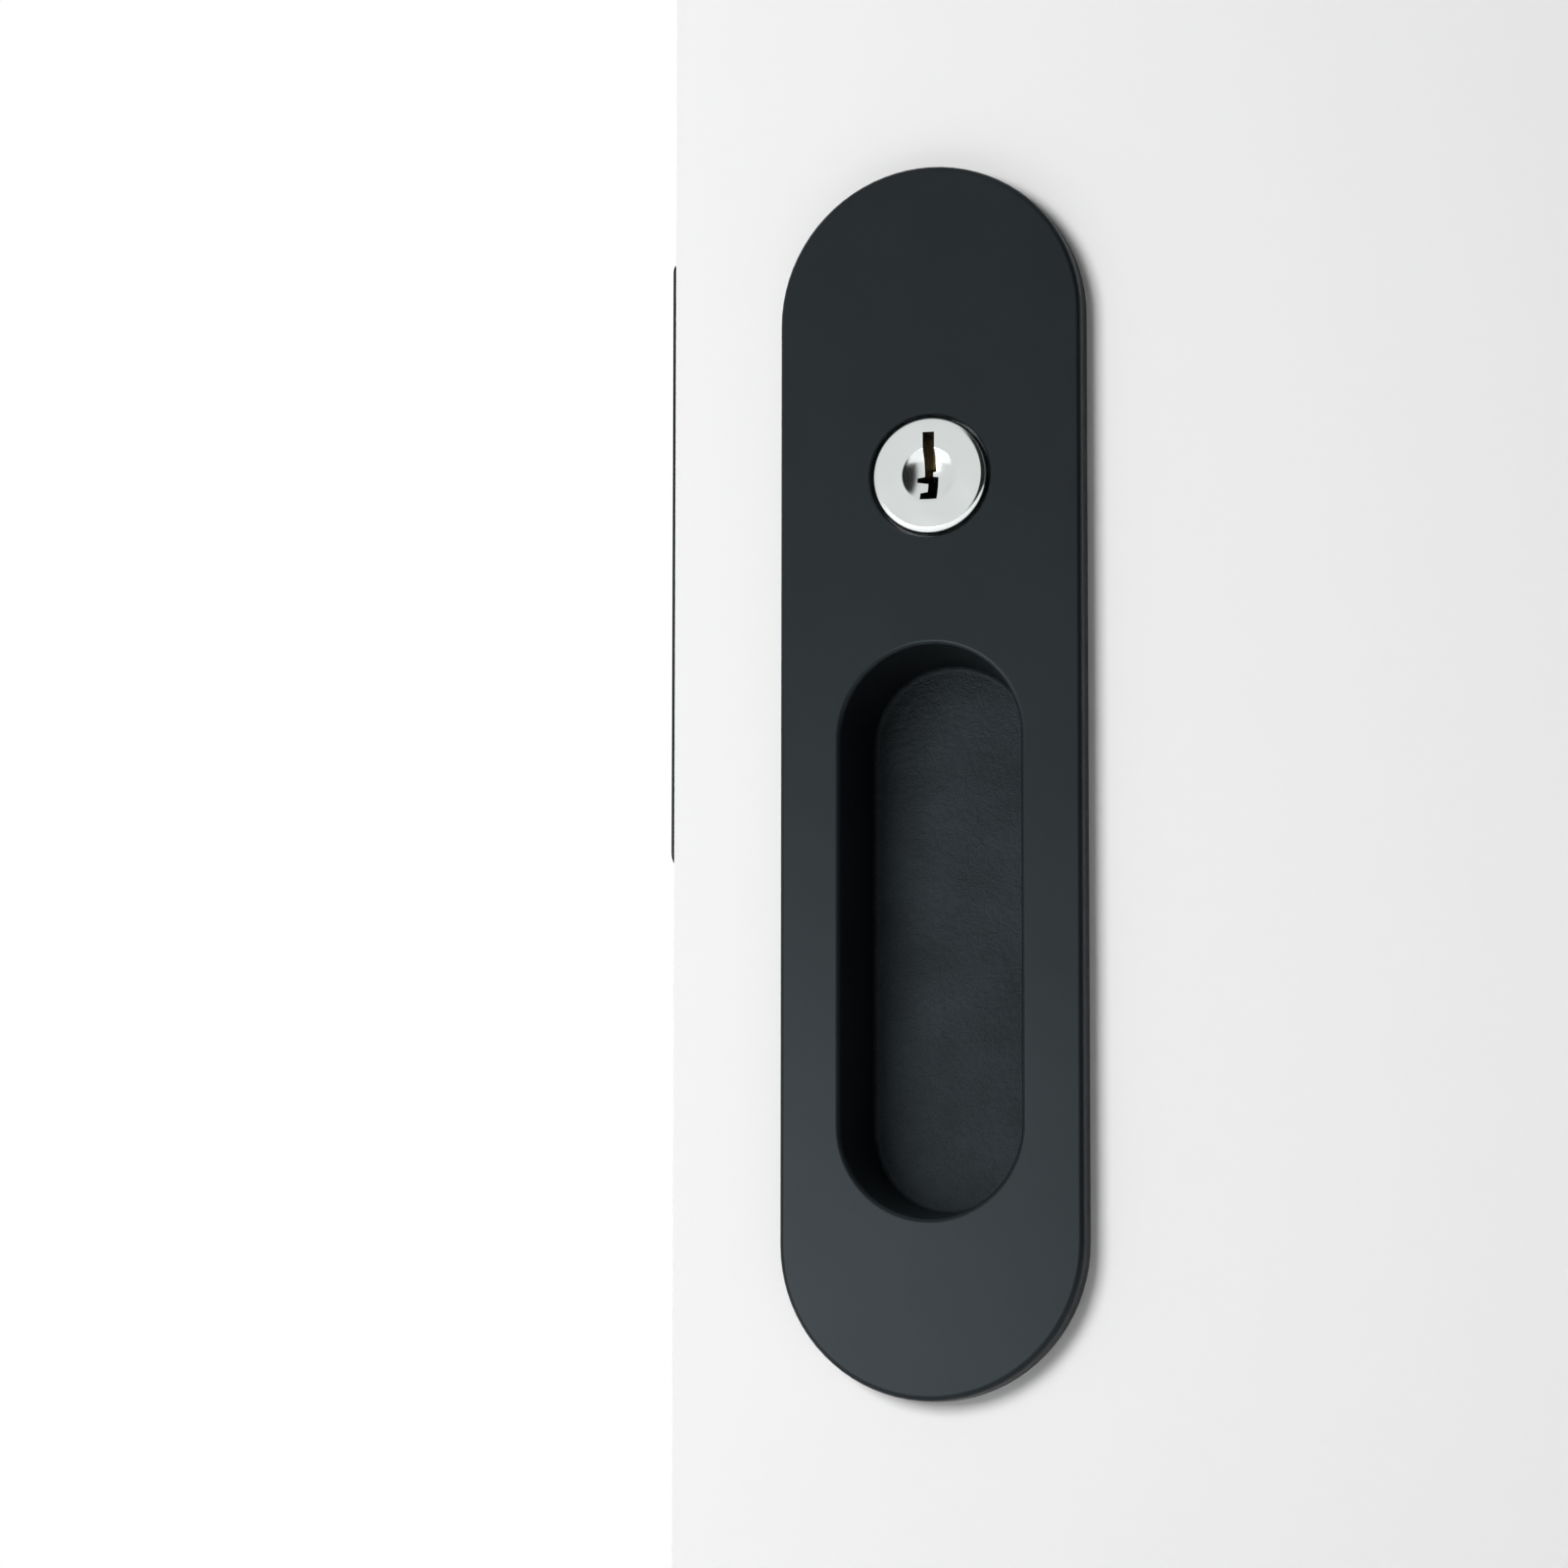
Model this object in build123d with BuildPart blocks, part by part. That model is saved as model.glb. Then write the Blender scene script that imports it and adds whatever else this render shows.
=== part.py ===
from build123d import *
import os
from math import acos, atan2, cos, degrees, hypot, radians, sin, tan

# Mortise lock for a sliding door: flush pull plates on both faces, a key cylinder outside, a thumb-turn
# inside and a hook bolt that swings out of the door's edge. Sizes are in millimetres.
# The origin is the middle of the forend's face, midway between its fixing holes, on the door's mid-plane.
# -X points out of the door's edge, -Y to the outside of the door, +Z up.

# Door
DOOR_THICKNESS = 40.0
BACKSET = 40.0  # forend face to key axis
KEY_Z = 10.0  # height of the key axis above the origin

# Flush pull plates
PLATE_LENGTH = 177.0
PLATE_WIDTH = 44.5
PLATE_THICKNESS = 4.0
PLATE_Z = -33.4  # height of the plate's middle
PLATE_EDGE = 0.8
PLATE_RIM = 3.0  # solid rim round the hollow back of the casting
PLATE_RELIEF = 1.4  # depth of that hollow
PULL_LENGTH = 81.8
PULL_WIDTH = 26.6
PULL_DEPTH = 13.8
PULL_DRAFT = 1.4  # how far the walls lean in from the mouth to the floor
PULL_Z = -55.3
PULL_WALL = 1.2
PULL_LIP = 1.4
PULL_FLOOR_EDGE = 0.8

# Through-bolts that clamp the two plates on the door
POST_HEIGHTS = (35.0, -111.0)
POST_RADIUS = 4.0
POST_REACH = 26.0  # how far the outer plate's posts go into the door
SLEEVE_REACH = 12.0  # how far the inner plate's sleeves go into the door
BOLT_RADIUS = 1.95
BOLT_HEAD_RADIUS = 4.0
BOLT_LENGTH = 34.0
BOLT_SOCKET = 2.5

# Key cylinder
KEY_HEAD_RADIUS = 8.5
KEY_HEAD_PROUD = 0.6
KEY_HEAD_BEVEL = 0.6
KEY_HEAD_GAP = 0.4
DIMPLE_RADIUS = 4.0
DIMPLE_DEPTH = 1.3
PLUG_RADIUS = 6.95
PLUG_LENGTH = 11.8
BARREL_RADIUS = 11.0
BARREL_LENGTH = 10.4
BORE_RADIUS = 7.0
EAR_SPACING = 30.0
EAR_RADIUS = 3.75
EAR_THICKNESS = 2.5
BOSS_REACH = 5.5  # screw bosses behind the outer plate
WAFER_COUNT = 5
WAFER_PITCH = 1.75
WAFER_THICKNESS = 0.9
WAFER_RADIUS = 6.85
WAFER_CUTS = (0.4, -0.3, 0.2, -0.5, 0.1)  # height of each wafer's window
SLOT_SLACK = 0.15
TAIL_THICKNESS = 2.3
TAIL_WIDTH = 7.4

# Mortise case
CASE_BACK = 60.0
CASE_HEIGHT = 60.0
CASE_HALF = 7.0  # half the case's thickness
SHEET = 1.2
FOREND_LENGTH = 88.0
FOREND_WIDTH = 38.0
FOREND_THICKNESS = 2.5
FIXING_SPACING = 77.0
FIXING_RADIUS = 2.2
CASE_SCREW_SPACING = 43.0
HOOK_SLOT_LENGTH = 29.0
HOOK_SLOT_WIDTH = 5.0

# Hub and hook bolt, which turn opposite ways through two equal toothed sectors
PIVOT_X = 12.0
PIVOT_Z = -10.0
SECTOR_TEETH = 20  # on a whole circle
TEETH_CUT = 6
PRESSURE_ANGLE = 20.0
BACKLASH = 0.2  # degrees taken off each flank
SECTOR_HALF = 2.0  # half the thickness of hub sector and hook
TRUNNION_RADIUS = 6.5
TRUNNION_GAP = 0.05
COLLAR_RADIUS = 8.0
COLLAR_HALF = 5.6
DETENT_RADIUS = 10.0
SPINDLE = 5.0
HOOK_PIN_RADIUS = 3.0
HOOK_DISC_RADIUS = 8.5
CLAW_INNER = 18.6
CLAW_OUTER = 25.0

# Thumb-turn
KNOB_NECK_RADIUS = 5.95
KNOB_DISC_RADIUS = 11.0
KNOB_DISC_THICKNESS = 2.5
WING_LENGTH = 30.0
WING_WIDTH = 8.0
WING_HEIGHT = 12.0

OUTER_BACK = -DOOR_THICKNESS / 2  # back of the outer plate, on the door's outer face
OUTER_FACE = OUTER_BACK - PLATE_THICKNESS
PULL_FLOOR = OUTER_FACE + PULL_DEPTH
HOLD = 0.6  # how far a boss or cup runs into the plate that carries it
CENTRES = hypot(BACKSET - PIVOT_X, KEY_Z - PIVOT_Z)
PITCH_RADIUS = CENTRES / 2
MODULE = CENTRES / SECTOR_TEETH
ROOT_RADIUS = PITCH_RADIUS - 1.25 * MODULE
TIP_RADIUS = PITCH_RADIUS + MODULE
TOOTH_STEP = 360 / SECTOR_TEETH
MESH_ANGLE = degrees(acos((BACKSET - PIVOT_X) / CENTRES))  # from the hook's pivot up to the hub


def facing_out(x, y, z):
    """A sketch plane seen from outside the door: its right is +X, its top +Z, and it extrudes to -Y."""
    return Plane(origin=(x, y, z), x_dir=(1, 0, 0), z_dir=(0, -1, 0))


def facing_in(x, y, z):
    """A sketch plane seen from inside the door: its top is +Z and it extrudes towards +Y."""
    return Plane(origin=(x, y, z), x_dir=(-1, 0, 0), z_dir=(0, 1, 0))


def facing_edge(x, y, z):
    """A sketch plane seen from in front of the door's edge: its top is +Z and it extrudes towards -X."""
    return Plane(origin=(x, y, z), x_dir=(0, -1, 0), z_dir=(-1, 0, 0))


def polar(radius, angle):
    """A sketch point at a radius and an angle in degrees from the sketch's right."""
    return (radius * cos(radians(angle)), radius * sin(radians(angle)))


def save(piece, name):
    """Label a finished piece and write it as one STEP file."""
    piece.part.label = name
    export_step(piece.part, f"parts/{name}.step")


def flush_pull():
    """The casting both sides share: a stadium plate with a hollow back and a blind finger pull."""
    with BuildPart() as pull:
        with BuildSketch(facing_out(BACKSET, OUTER_BACK, PLATE_Z)):
            SlotOverall(PLATE_LENGTH, PLATE_WIDTH, rotation=90)
        extrude(amount=PLATE_THICKNESS)
        with BuildSketch(facing_out(BACKSET, OUTER_BACK, PLATE_Z)):
            SlotOverall(PLATE_LENGTH - 2 * PLATE_RIM, PLATE_WIDTH - 2 * PLATE_RIM, rotation=90)
        extrude(amount=PLATE_RELIEF, mode=Mode.SUBTRACT)
        draft = degrees(atan2(PULL_DRAFT, PULL_DEPTH))
        floor_length = PULL_LENGTH - 2 * PULL_DRAFT
        floor_width = PULL_WIDTH - 2 * PULL_DRAFT
        with BuildSketch(facing_out(BACKSET, PULL_FLOOR + PULL_WALL, PULL_Z)):
            SlotOverall(floor_length + 2 * PULL_WALL, floor_width + 2 * PULL_WALL, rotation=90)
        extrude(amount=PULL_FLOOR + PULL_WALL - OUTER_BACK + PLATE_RELIEF + HOLD, taper=-draft)
        chamfer(pull.faces().sort_by(Axis.Y)[-1].edges(), PULL_WALL / 2)
        with BuildSketch(facing_out(BACKSET, PULL_FLOOR, PULL_Z)):
            SlotOverall(floor_length, floor_width, rotation=90)
        extrude(amount=PULL_DEPTH, taper=-draft, mode=Mode.SUBTRACT)
        fillet(pull.faces().sort_by(Axis.Y)[0].inner_wires()[0].edges(), PULL_LIP)
        fillet(pull.faces().sort_by(Axis.Y)[0].outer_wire().edges(), PLATE_EDGE)
        floor_edge = pull.edges().filter_by_position(Axis.Y, PULL_FLOOR - 0.01, PULL_FLOOR + 0.01)
        chamfer(floor_edge, PULL_FLOOR_EDGE)
    return pull.part


def flat_head_screw(seat, head_radius, shank_radius, length, socket):
    """A countersunk socket screw. The seat plane is the top of its head, and its shank runs behind that."""
    head_height = head_radius - shank_radius
    hang = (Align.CENTER, Align.CENTER, Align.MAX)
    with BuildPart(seat) as screw:
        Cone(shank_radius, head_radius, head_height, align=hang)
        Cylinder(shank_radius, length, align=hang)
        tip = screw.faces().sort_by(Axis(seat.origin, seat.z_dir))[0]
        chamfer(tip.edges(), shank_radius / 4)
        with BuildSketch(seat):
            RegularPolygon(socket / 2, 6, major_radius=False)
        extrude(amount=-0.8 * head_height, mode=Mode.SUBTRACT)
    return screw.part


def pan_head_screw(seat, head_radius, head_height, shank_radius, length):
    """A slotted screw. The seat plane is the underside of its head, and its shank runs behind that."""
    with BuildPart(seat) as screw:
        Cylinder(shank_radius, length, align=(Align.CENTER, Align.CENTER, Align.MAX))
        Cylinder(head_radius, head_height, align=(Align.CENTER, Align.CENTER, Align.MIN))
        top = screw.faces().sort_by(Axis(seat.origin, seat.z_dir))[-1]
        chamfer(top.edges(), head_height / 3)
        with BuildSketch(seat.offset(head_height)):
            Rectangle(2 * head_radius, head_radius / 4)
        extrude(amount=-head_height / 2, mode=Mode.SUBTRACT)
    return screw.part


def retaining_clip(seat, inner_radius, outer_radius, thickness):
    """A flat spring clip, open at the bottom, that snaps into a groove and stands on the seat plane."""
    with BuildPart() as clip:
        with BuildSketch(seat) as outline:
            Circle(outer_radius)
            Circle(inner_radius, mode=Mode.SUBTRACT)
            with Locations((0, -outer_radius)):
                Rectangle(1.3 * inner_radius, 2 * outer_radius, mode=Mode.SUBTRACT)
            fillet(outline.vertices(), 0.4)
        extrude(amount=thickness)
    return clip.part


def involute_tooth(angle):
    """One gear tooth about the sketch's origin, at an angle in degrees, with involute flanks as arcs."""
    base_radius = PITCH_RADIUS * cos(radians(PRESSURE_ANGLE))

    def half_angle(radius):
        roll, pitch_roll = acos(base_radius / radius), radians(PRESSURE_ANGLE)
        spread = (tan(pitch_roll) - pitch_roll) - (tan(roll) - roll)
        return TOOTH_STEP / 4 - BACKLASH + degrees(spread)

    radii = (base_radius, (base_radius + TIP_RADIUS) / 2, TIP_RADIUS)
    with BuildSketch() as tooth:
        with BuildLine():
            flanks = [
                ThreePointArc(*[polar(r, angle + side * half_angle(r)) for r in radii])
                for side in (-1, 1)
            ]
            feet = [polar(ROOT_RADIUS - HOLD, angle + side * half_angle(base_radius)) for side in (-1, 1)]
            Line(flanks[0] @ 1, flanks[1] @ 1)
            Polyline(flanks[0] @ 0, feet[0], feet[1], flanks[1] @ 0)
        make_face()
    return tooth.sketch


def toothed_sector(first_angle):
    """A web up to the root circle with its teeth, from the first tooth's angle on counter-clockwise."""
    span = (TEETH_CUT - 1) * TOOTH_STEP
    margin = TOOTH_STEP / 3
    with BuildSketch() as sector:
        with BuildLine():
            rim = CenterArc((0, 0), ROOT_RADIUS, first_angle - margin, span + 2 * margin)
            Polyline(rim @ 1, (0, 0), rim @ 0)
        make_face()
        for n in range(TEETH_CUT):
            add(involute_tooth(first_angle + n * TOOTH_STEP))
    return sector.sketch


os.makedirs("parts", exist_ok=True)

# Outer plate: die-cast, with the finger pull, two threaded posts and the seat of the key cylinder
with BuildPart() as outer_plate:
    add(flush_pull())
    with BuildSketch(facing_out(BACKSET, OUTER_BACK, KEY_Z)):
        Circle(BARREL_RADIUS + 1.5)
    extrude(amount=PLATE_RELIEF + HOLD)
    with BuildSketch(facing_out(BACKSET, OUTER_BACK + BOSS_REACH, KEY_Z)):
        with GridLocations(EAR_SPACING, 0, 2, 1):
            Circle(EAR_RADIUS)
    extrude(amount=BOSS_REACH + PLATE_RELIEF + HOLD)
    for z in POST_HEIGHTS:
        with BuildSketch(facing_out(BACKSET, OUTER_BACK + POST_REACH, z)):
            Circle(POST_RADIUS)
        extrude(amount=POST_REACH + PLATE_RELIEF + HOLD)
        with BuildSketch(facing_out(BACKSET, OUTER_BACK + POST_REACH, z)):
            Circle(BOLT_RADIUS + 0.05)
        extrude(amount=POST_REACH - 1.0, mode=Mode.SUBTRACT)
    with BuildSketch(facing_out(BACKSET, OUTER_BACK + BOSS_REACH, KEY_Z)):
        with GridLocations(EAR_SPACING, 0, 2, 1):
            Circle(1.5)
    extrude(amount=BOSS_REACH + 0.8, mode=Mode.SUBTRACT)
    with BuildSketch(facing_out(BACKSET, OUTER_BACK, KEY_Z)):
        Circle(KEY_HEAD_RADIUS + KEY_HEAD_GAP)
    extrude(amount=PLATE_THICKNESS, mode=Mode.SUBTRACT)
save(outer_plate, "outer_plate")

# Inner plate: the same casting turned round, with sleeves for the bolts and the bearing of the thumb-turn
with BuildPart() as inner_plate:
    mirror(flush_pull(), about=Plane.XZ)
    with BuildSketch(facing_in(BACKSET, -OUTER_BACK, KEY_Z)):
        Circle(KNOB_DISC_RADIUS)
    extrude(amount=PLATE_RELIEF + HOLD)
    for z in POST_HEIGHTS:
        with BuildSketch(facing_in(BACKSET, -OUTER_BACK - SLEEVE_REACH, z)):
            Circle(POST_RADIUS)
        extrude(amount=SLEEVE_REACH + PLATE_RELIEF + HOLD)
        with Locations(facing_in(BACKSET, -OUTER_FACE, z)):
            CounterSinkHole(BOLT_RADIUS + 0.15, BOLT_HEAD_RADIUS + 0.2, counter_sink_angle=90)
    with BuildSketch(facing_in(BACKSET, -OUTER_BACK, KEY_Z)):
        Circle(KNOB_NECK_RADIUS + 0.05)
    extrude(amount=PLATE_THICKNESS, mode=Mode.SUBTRACT)
save(inner_plate, "inner_plate")

# Through-bolts, from the inner plate into the outer plate's posts
for name, z in zip(("through_bolt_upper", "through_bolt_lower"), POST_HEIGHTS):
    with BuildPart() as through_bolt:
        seat = facing_in(BACKSET, -OUTER_FACE, z)
        add(flat_head_screw(seat, BOLT_HEAD_RADIUS, BOLT_RADIUS, BOLT_LENGTH, BOLT_SOCKET))
    save(through_bolt, name)

# Cylinder barrel: a sleeve with two screw ears and a groove above and below for the wafers' ends
BARREL_BACK = OUTER_BACK + BARREL_LENGTH
EAR_BACK = OUTER_BACK + BOSS_REACH + EAR_THICKNESS
WAFER_WIDTH = 8.6
with BuildPart() as cylinder_barrel:
    with BuildSketch(facing_out(BACKSET, BARREL_BACK, KEY_Z)):
        Circle(BARREL_RADIUS)
    extrude(amount=BARREL_LENGTH)
    with BuildSketch(facing_out(BACKSET, EAR_BACK, KEY_Z)):
        SlotCenterToCenter(EAR_SPACING, 2 * EAR_RADIUS)
        with GridLocations(EAR_SPACING, 0, 2, 1):
            Circle(1.6, mode=Mode.SUBTRACT)
    extrude(amount=EAR_THICKNESS)
    with BuildSketch(facing_out(BACKSET, BARREL_BACK, KEY_Z)):
        Circle(BORE_RADIUS)
    extrude(amount=BARREL_LENGTH, mode=Mode.SUBTRACT)
    with BuildSketch(facing_out(BACKSET, BARREL_BACK, KEY_Z)):
        Rectangle(WAFER_WIDTH + 0.4, 2 * (BORE_RADIUS + 1.6))
    extrude(amount=BARREL_LENGTH - 1.2, mode=Mode.SUBTRACT)
    chamfer(cylinder_barrel.faces().sort_by(Axis.Y)[-1].outer_wire().edges(), 0.5)
save(cylinder_barrel, "cylinder_barrel")

for name, side in (("barrel_screw_left", -1), ("barrel_screw_right", 1)):
    with BuildPart() as barrel_screw:
        seat = facing_in(BACKSET + side * EAR_SPACING / 2, EAR_BACK, KEY_Z)
        add(pan_head_screw(seat, 2.75, 1.8, 1.4, 7.5))
    save(barrel_screw, name)

# Key plug: the round face with its key slot, and the body behind it that carries the wafers
HEAD_FACE = OUTER_FACE - KEY_HEAD_PROUD
HEAD_BACK = OUTER_BACK - 0.1
PLUG_BACK = OUTER_BACK + PLUG_LENGTH
CLIP_SEAT = BARREL_BACK + 0.1
CLIP_THICKNESS = 0.7
GROOVE_RADIUS = 5.6
TAIL_SLOT_DEPTH = 1.6
FIRST_WAFER = OUTER_BACK + 1.8
LOBE_X = 3.5  # middle of the side lobe that holds a wafer's spring
LOBE_WIDTH = 1.8
LOBE_BOTTOM, LOBE_TOP = -3.6, 5.2
wafer_sides = [1 if n % 2 == 0 else -1 for n in range(WAFER_COUNT)]
wafer_backs = [FIRST_WAFER + n * WAFER_PITCH + WAFER_THICKNESS / 2 for n in range(WAFER_COUNT)]

with BuildPart() as key_plug:
    with BuildSketch(facing_out(BACKSET, PLUG_BACK, KEY_Z)):
        Circle(PLUG_RADIUS)
    extrude(amount=PLUG_BACK - HEAD_BACK)
    with BuildSketch(facing_out(BACKSET, HEAD_BACK, KEY_Z)):
        Circle(KEY_HEAD_RADIUS)
    extrude(amount=HEAD_BACK - HEAD_FACE)
    chamfer(key_plug.faces().sort_by(Axis.Y)[0].edges(), KEY_HEAD_BEVEL)
    with Locations(facing_out(BACKSET, HEAD_FACE, KEY_Z)):
        sunk = (Align.CENTER, Align.CENTER, Align.MAX)
        Cone(0.6, DIMPLE_RADIUS, DIMPLE_DEPTH, align=sunk, mode=Mode.SUBTRACT)
    # Key slot: narrow above, wide below, with a ward standing in from each side
    with BuildSketch(facing_out(BACKSET, FIRST_WAFER + WAFER_COUNT * WAFER_PITCH - 0.6, KEY_Z)):
        with BuildLine():
            Polyline(
                (-0.9, 6.3), (-0.9, -0.5), (-1.7, -0.5), (-1.7, -1.5), (-0.9, -1.5), (-0.9, -2.3),
                (-1.7, -2.3), (-1.7, -3.5), (1.3, -3.5), (1.3, -0.4), (0.8, -0.4), (0.8, 0.4),
                (0.9, 0.4), (0.9, 6.3), close=True
            )
        make_face()
    extrude(amount=PLUG_LENGTH + PLATE_THICKNESS, mode=Mode.SUBTRACT)
    for back, side in zip(wafer_backs, wafer_sides):
        with BuildSketch(facing_out(BACKSET, back + SLOT_SLACK / 2, KEY_Z)):
            with Locations((-side * 0.9, 0)):
                Rectangle(WAFER_WIDTH - LOBE_WIDTH + 0.2, 2 * BORE_RADIUS + 1)
            with Locations((side * LOBE_X, (LOBE_BOTTOM + LOBE_TOP) / 2)):
                Rectangle(LOBE_WIDTH + 0.1, LOBE_TOP - LOBE_BOTTOM)
        extrude(amount=WAFER_THICKNESS + SLOT_SLACK, mode=Mode.SUBTRACT)
    with BuildSketch(facing_out(BACKSET, CLIP_SEAT + CLIP_THICKNESS + 0.05, KEY_Z)):
        Circle(BORE_RADIUS)
        Circle(GROOVE_RADIUS, mode=Mode.SUBTRACT)
    extrude(amount=CLIP_THICKNESS + 0.1, mode=Mode.SUBTRACT)
    with BuildSketch(facing_out(BACKSET, PLUG_BACK, KEY_Z)):
        RectangleRounded(TAIL_THICKNESS + 0.1, TAIL_WIDTH + 0.1, 0.4)
    extrude(amount=TAIL_SLOT_DEPTH, mode=Mode.SUBTRACT)
save(key_plug, "key_plug")

# Wafers, level with the plug's skin as the right key holds them, with a window for the key and a spring lug
for n, (back, side, cut) in enumerate(zip(wafer_backs, wafer_sides, WAFER_CUTS), start=1):
    with BuildPart() as wafer:
        with BuildSketch(facing_out(BACKSET, back, KEY_Z)):
            Circle(WAFER_RADIUS)
            with Locations((-side * 0.9, 0)):
                Rectangle(WAFER_WIDTH - LOBE_WIDTH, 2 * BORE_RADIUS, mode=Mode.INTERSECT)
            with Locations((side * (LOBE_X - 0.1), 1.8)):
                Rectangle(LOBE_WIDTH, 2.8)
            with Locations((-side * 0.3, cut - 1.2)):
                RectangleRounded(3.6, 5.0, 0.5, mode=Mode.SUBTRACT)
        extrude(amount=WAFER_THICKNESS)
    save(wafer, f"wafer_{n}")

with BuildPart() as wafer_springs:
    for back, side in zip(wafer_backs, wafer_sides):
        foot = (BACKSET + side * LOBE_X, back - WAFER_THICKNESS / 2, KEY_Z + LOBE_BOTTOM)
        with BuildSketch(Plane(origin=foot)):
            Circle(0.45)
            Circle(0.25, mode=Mode.SUBTRACT)
        extrude(amount=3.9)
save(wafer_springs, "wafer_springs")

with BuildPart() as plug_clip:
    clip_seat = facing_out(BACKSET, CLIP_SEAT + CLIP_THICKNESS, KEY_Z)
    add(retaining_clip(clip_seat, GROOVE_RADIUS + 0.05, 8.2, CLIP_THICKNESS))
save(plug_clip, "plug_clip")

# Tail bar: carries the key's turn into the outer half of the hub
TAIL_END = -1.0
TAIL_ROOT = PLUG_BACK - TAIL_SLOT_DEPTH
with BuildPart() as tail_bar:
    with BuildSketch(facing_out(BACKSET, TAIL_END, KEY_Z)):
        RectangleRounded(TAIL_THICKNESS, TAIL_WIDTH, 0.4)
    extrude(amount=TAIL_END - TAIL_ROOT - 0.05)
    chamfer(tail_bar.faces().sort_by(Axis.Y)[-1].edges(), 0.3)
save(tail_bar, "tail_bar")

# Mortise case: a pressed tray with corner pillars and front lugs, closed by a flat cover
CASE_FRONT = FOREND_THICKNESS
CASE_MIDDLE = (CASE_FRONT + CASE_BACK) / 2
CASE_CORNER = 4.0
PILLAR_RADIUS = 2.7
PILLARS = ((7.2, 26.2), (7.2, -26.2), (56.0, 26.0), (56.0, -26.0))
LUG_REACH = 4.7
LUG_HEIGHT = 6.6
SPRING_POST = (BACKSET + 11.5, KEY_Z + 12.9)
SPRING_POST_RADIUS = 1.6


def case_outline(y):
    """The case's side outline as a face, with round corners at the back."""
    with BuildSketch(facing_out(CASE_MIDDLE, y, 0)) as outline:
        Rectangle(CASE_BACK - CASE_FRONT, CASE_HEIGHT)
        fillet(outline.vertices().group_by(Axis.X)[-1], CASE_CORNER)
    return outline.sketch


with BuildPart() as case_tray:
    extrude(case_outline(CASE_HALF - SHEET), amount=2 * CASE_HALF - SHEET)
    offset(openings=case_tray.faces().sort_by(Axis.Y)[-1], amount=-SHEET)
    with BuildSketch(facing_out(0, CASE_HALF - SHEET, 0)):
        with Locations(*PILLARS):
            Circle(PILLAR_RADIUS)
    extrude(amount=2 * CASE_HALF - 1.5 * SHEET)
    with BuildSketch(facing_edge(CASE_FRONT + LUG_REACH, 0, 0)):
        with GridLocations(0, CASE_SCREW_SPACING, 1, 2):
            Rectangle(2 * CASE_HALF - 2 * SHEET, LUG_HEIGHT)
    extrude(amount=LUG_REACH - SHEET / 2)
    with BuildSketch(facing_edge(CASE_FRONT + LUG_REACH, 0, 0)):
        with GridLocations(0, CASE_SCREW_SPACING, 1, 2):
            Circle(2.0)
    extrude(amount=LUG_REACH, mode=Mode.SUBTRACT)
    with BuildSketch(facing_edge(CASE_FRONT + SHEET, 0, 0)):
        RectangleRounded(HOOK_SLOT_WIDTH + 0.4, HOOK_SLOT_LENGTH + 0.4, 1.0)
    extrude(amount=SHEET, mode=Mode.SUBTRACT)
    with BuildSketch(facing_out(0, CASE_HALF - SHEET, 0)):
        with Locations(*PILLARS):
            Circle(1.25)
    extrude(amount=8.0, mode=Mode.SUBTRACT)
    with BuildSketch(facing_out(0, SHEET - CASE_HALF, 0)):
        with Locations((BACKSET, KEY_Z)):
            Circle(TRUNNION_RADIUS + TRUNNION_GAP)
        with Locations((PIVOT_X, PIVOT_Z)):
            Circle(HOOK_PIN_RADIUS)
        with Locations(SPRING_POST):
            Circle(SPRING_POST_RADIUS)
    extrude(amount=SHEET, mode=Mode.SUBTRACT)
save(case_tray, "case_tray")

with BuildPart() as case_cover:
    extrude(case_outline(CASE_HALF), amount=SHEET)
    with BuildSketch(facing_out(0, CASE_HALF, 0)):
        with Locations((BACKSET, KEY_Z)):
            Circle(TRUNNION_RADIUS + TRUNNION_GAP)
        with Locations((PIVOT_X, PIVOT_Z)):
            Circle(HOOK_PIN_RADIUS)
        with Locations(SPRING_POST):
            Circle(SPRING_POST_RADIUS)
        with Locations(*PILLARS):
            Circle(1.35)
    extrude(amount=SHEET, mode=Mode.SUBTRACT)
save(case_cover, "case_cover")

for n, (x, z) in enumerate(PILLARS, start=1):
    with BuildPart() as cover_screw:
        add(pan_head_screw(facing_in(x, CASE_HALF, z), 2.2, 1.1, 1.2, 8.0))
    save(cover_screw, f"cover_screw_{n}")

# Forend: the steel strip on the door's edge, with the hook's slot, two fixing holes and two case screws
with BuildPart() as forend:
    with BuildSketch(facing_edge(FOREND_THICKNESS, 0, 0)):
        RectangleRounded(FOREND_WIDTH, FOREND_LENGTH, 1.5)
        RectangleRounded(HOOK_SLOT_WIDTH, HOOK_SLOT_LENGTH, 1.0, mode=Mode.SUBTRACT)
    extrude(amount=FOREND_THICKNESS)
    with Locations(facing_edge(0, 0, 0)):
        with GridLocations(0, FIXING_SPACING, 1, 2):
            CounterSinkHole(FIXING_RADIUS, 4.2, counter_sink_angle=90)
        with GridLocations(0, CASE_SCREW_SPACING, 1, 2):
            CounterSinkHole(2.1, 4.1, counter_sink_angle=90)
save(forend, "forend")

for name, side in (("forend_screw_upper", 1), ("forend_screw_lower", -1)):
    with BuildPart() as forend_screw:
        seat = facing_edge(0, 0, side * CASE_SCREW_SPACING / 2)
        add(flat_head_screw(seat, 4.0, 1.95, 6.6, BOLT_SOCKET))
    save(forend_screw, name)

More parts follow.
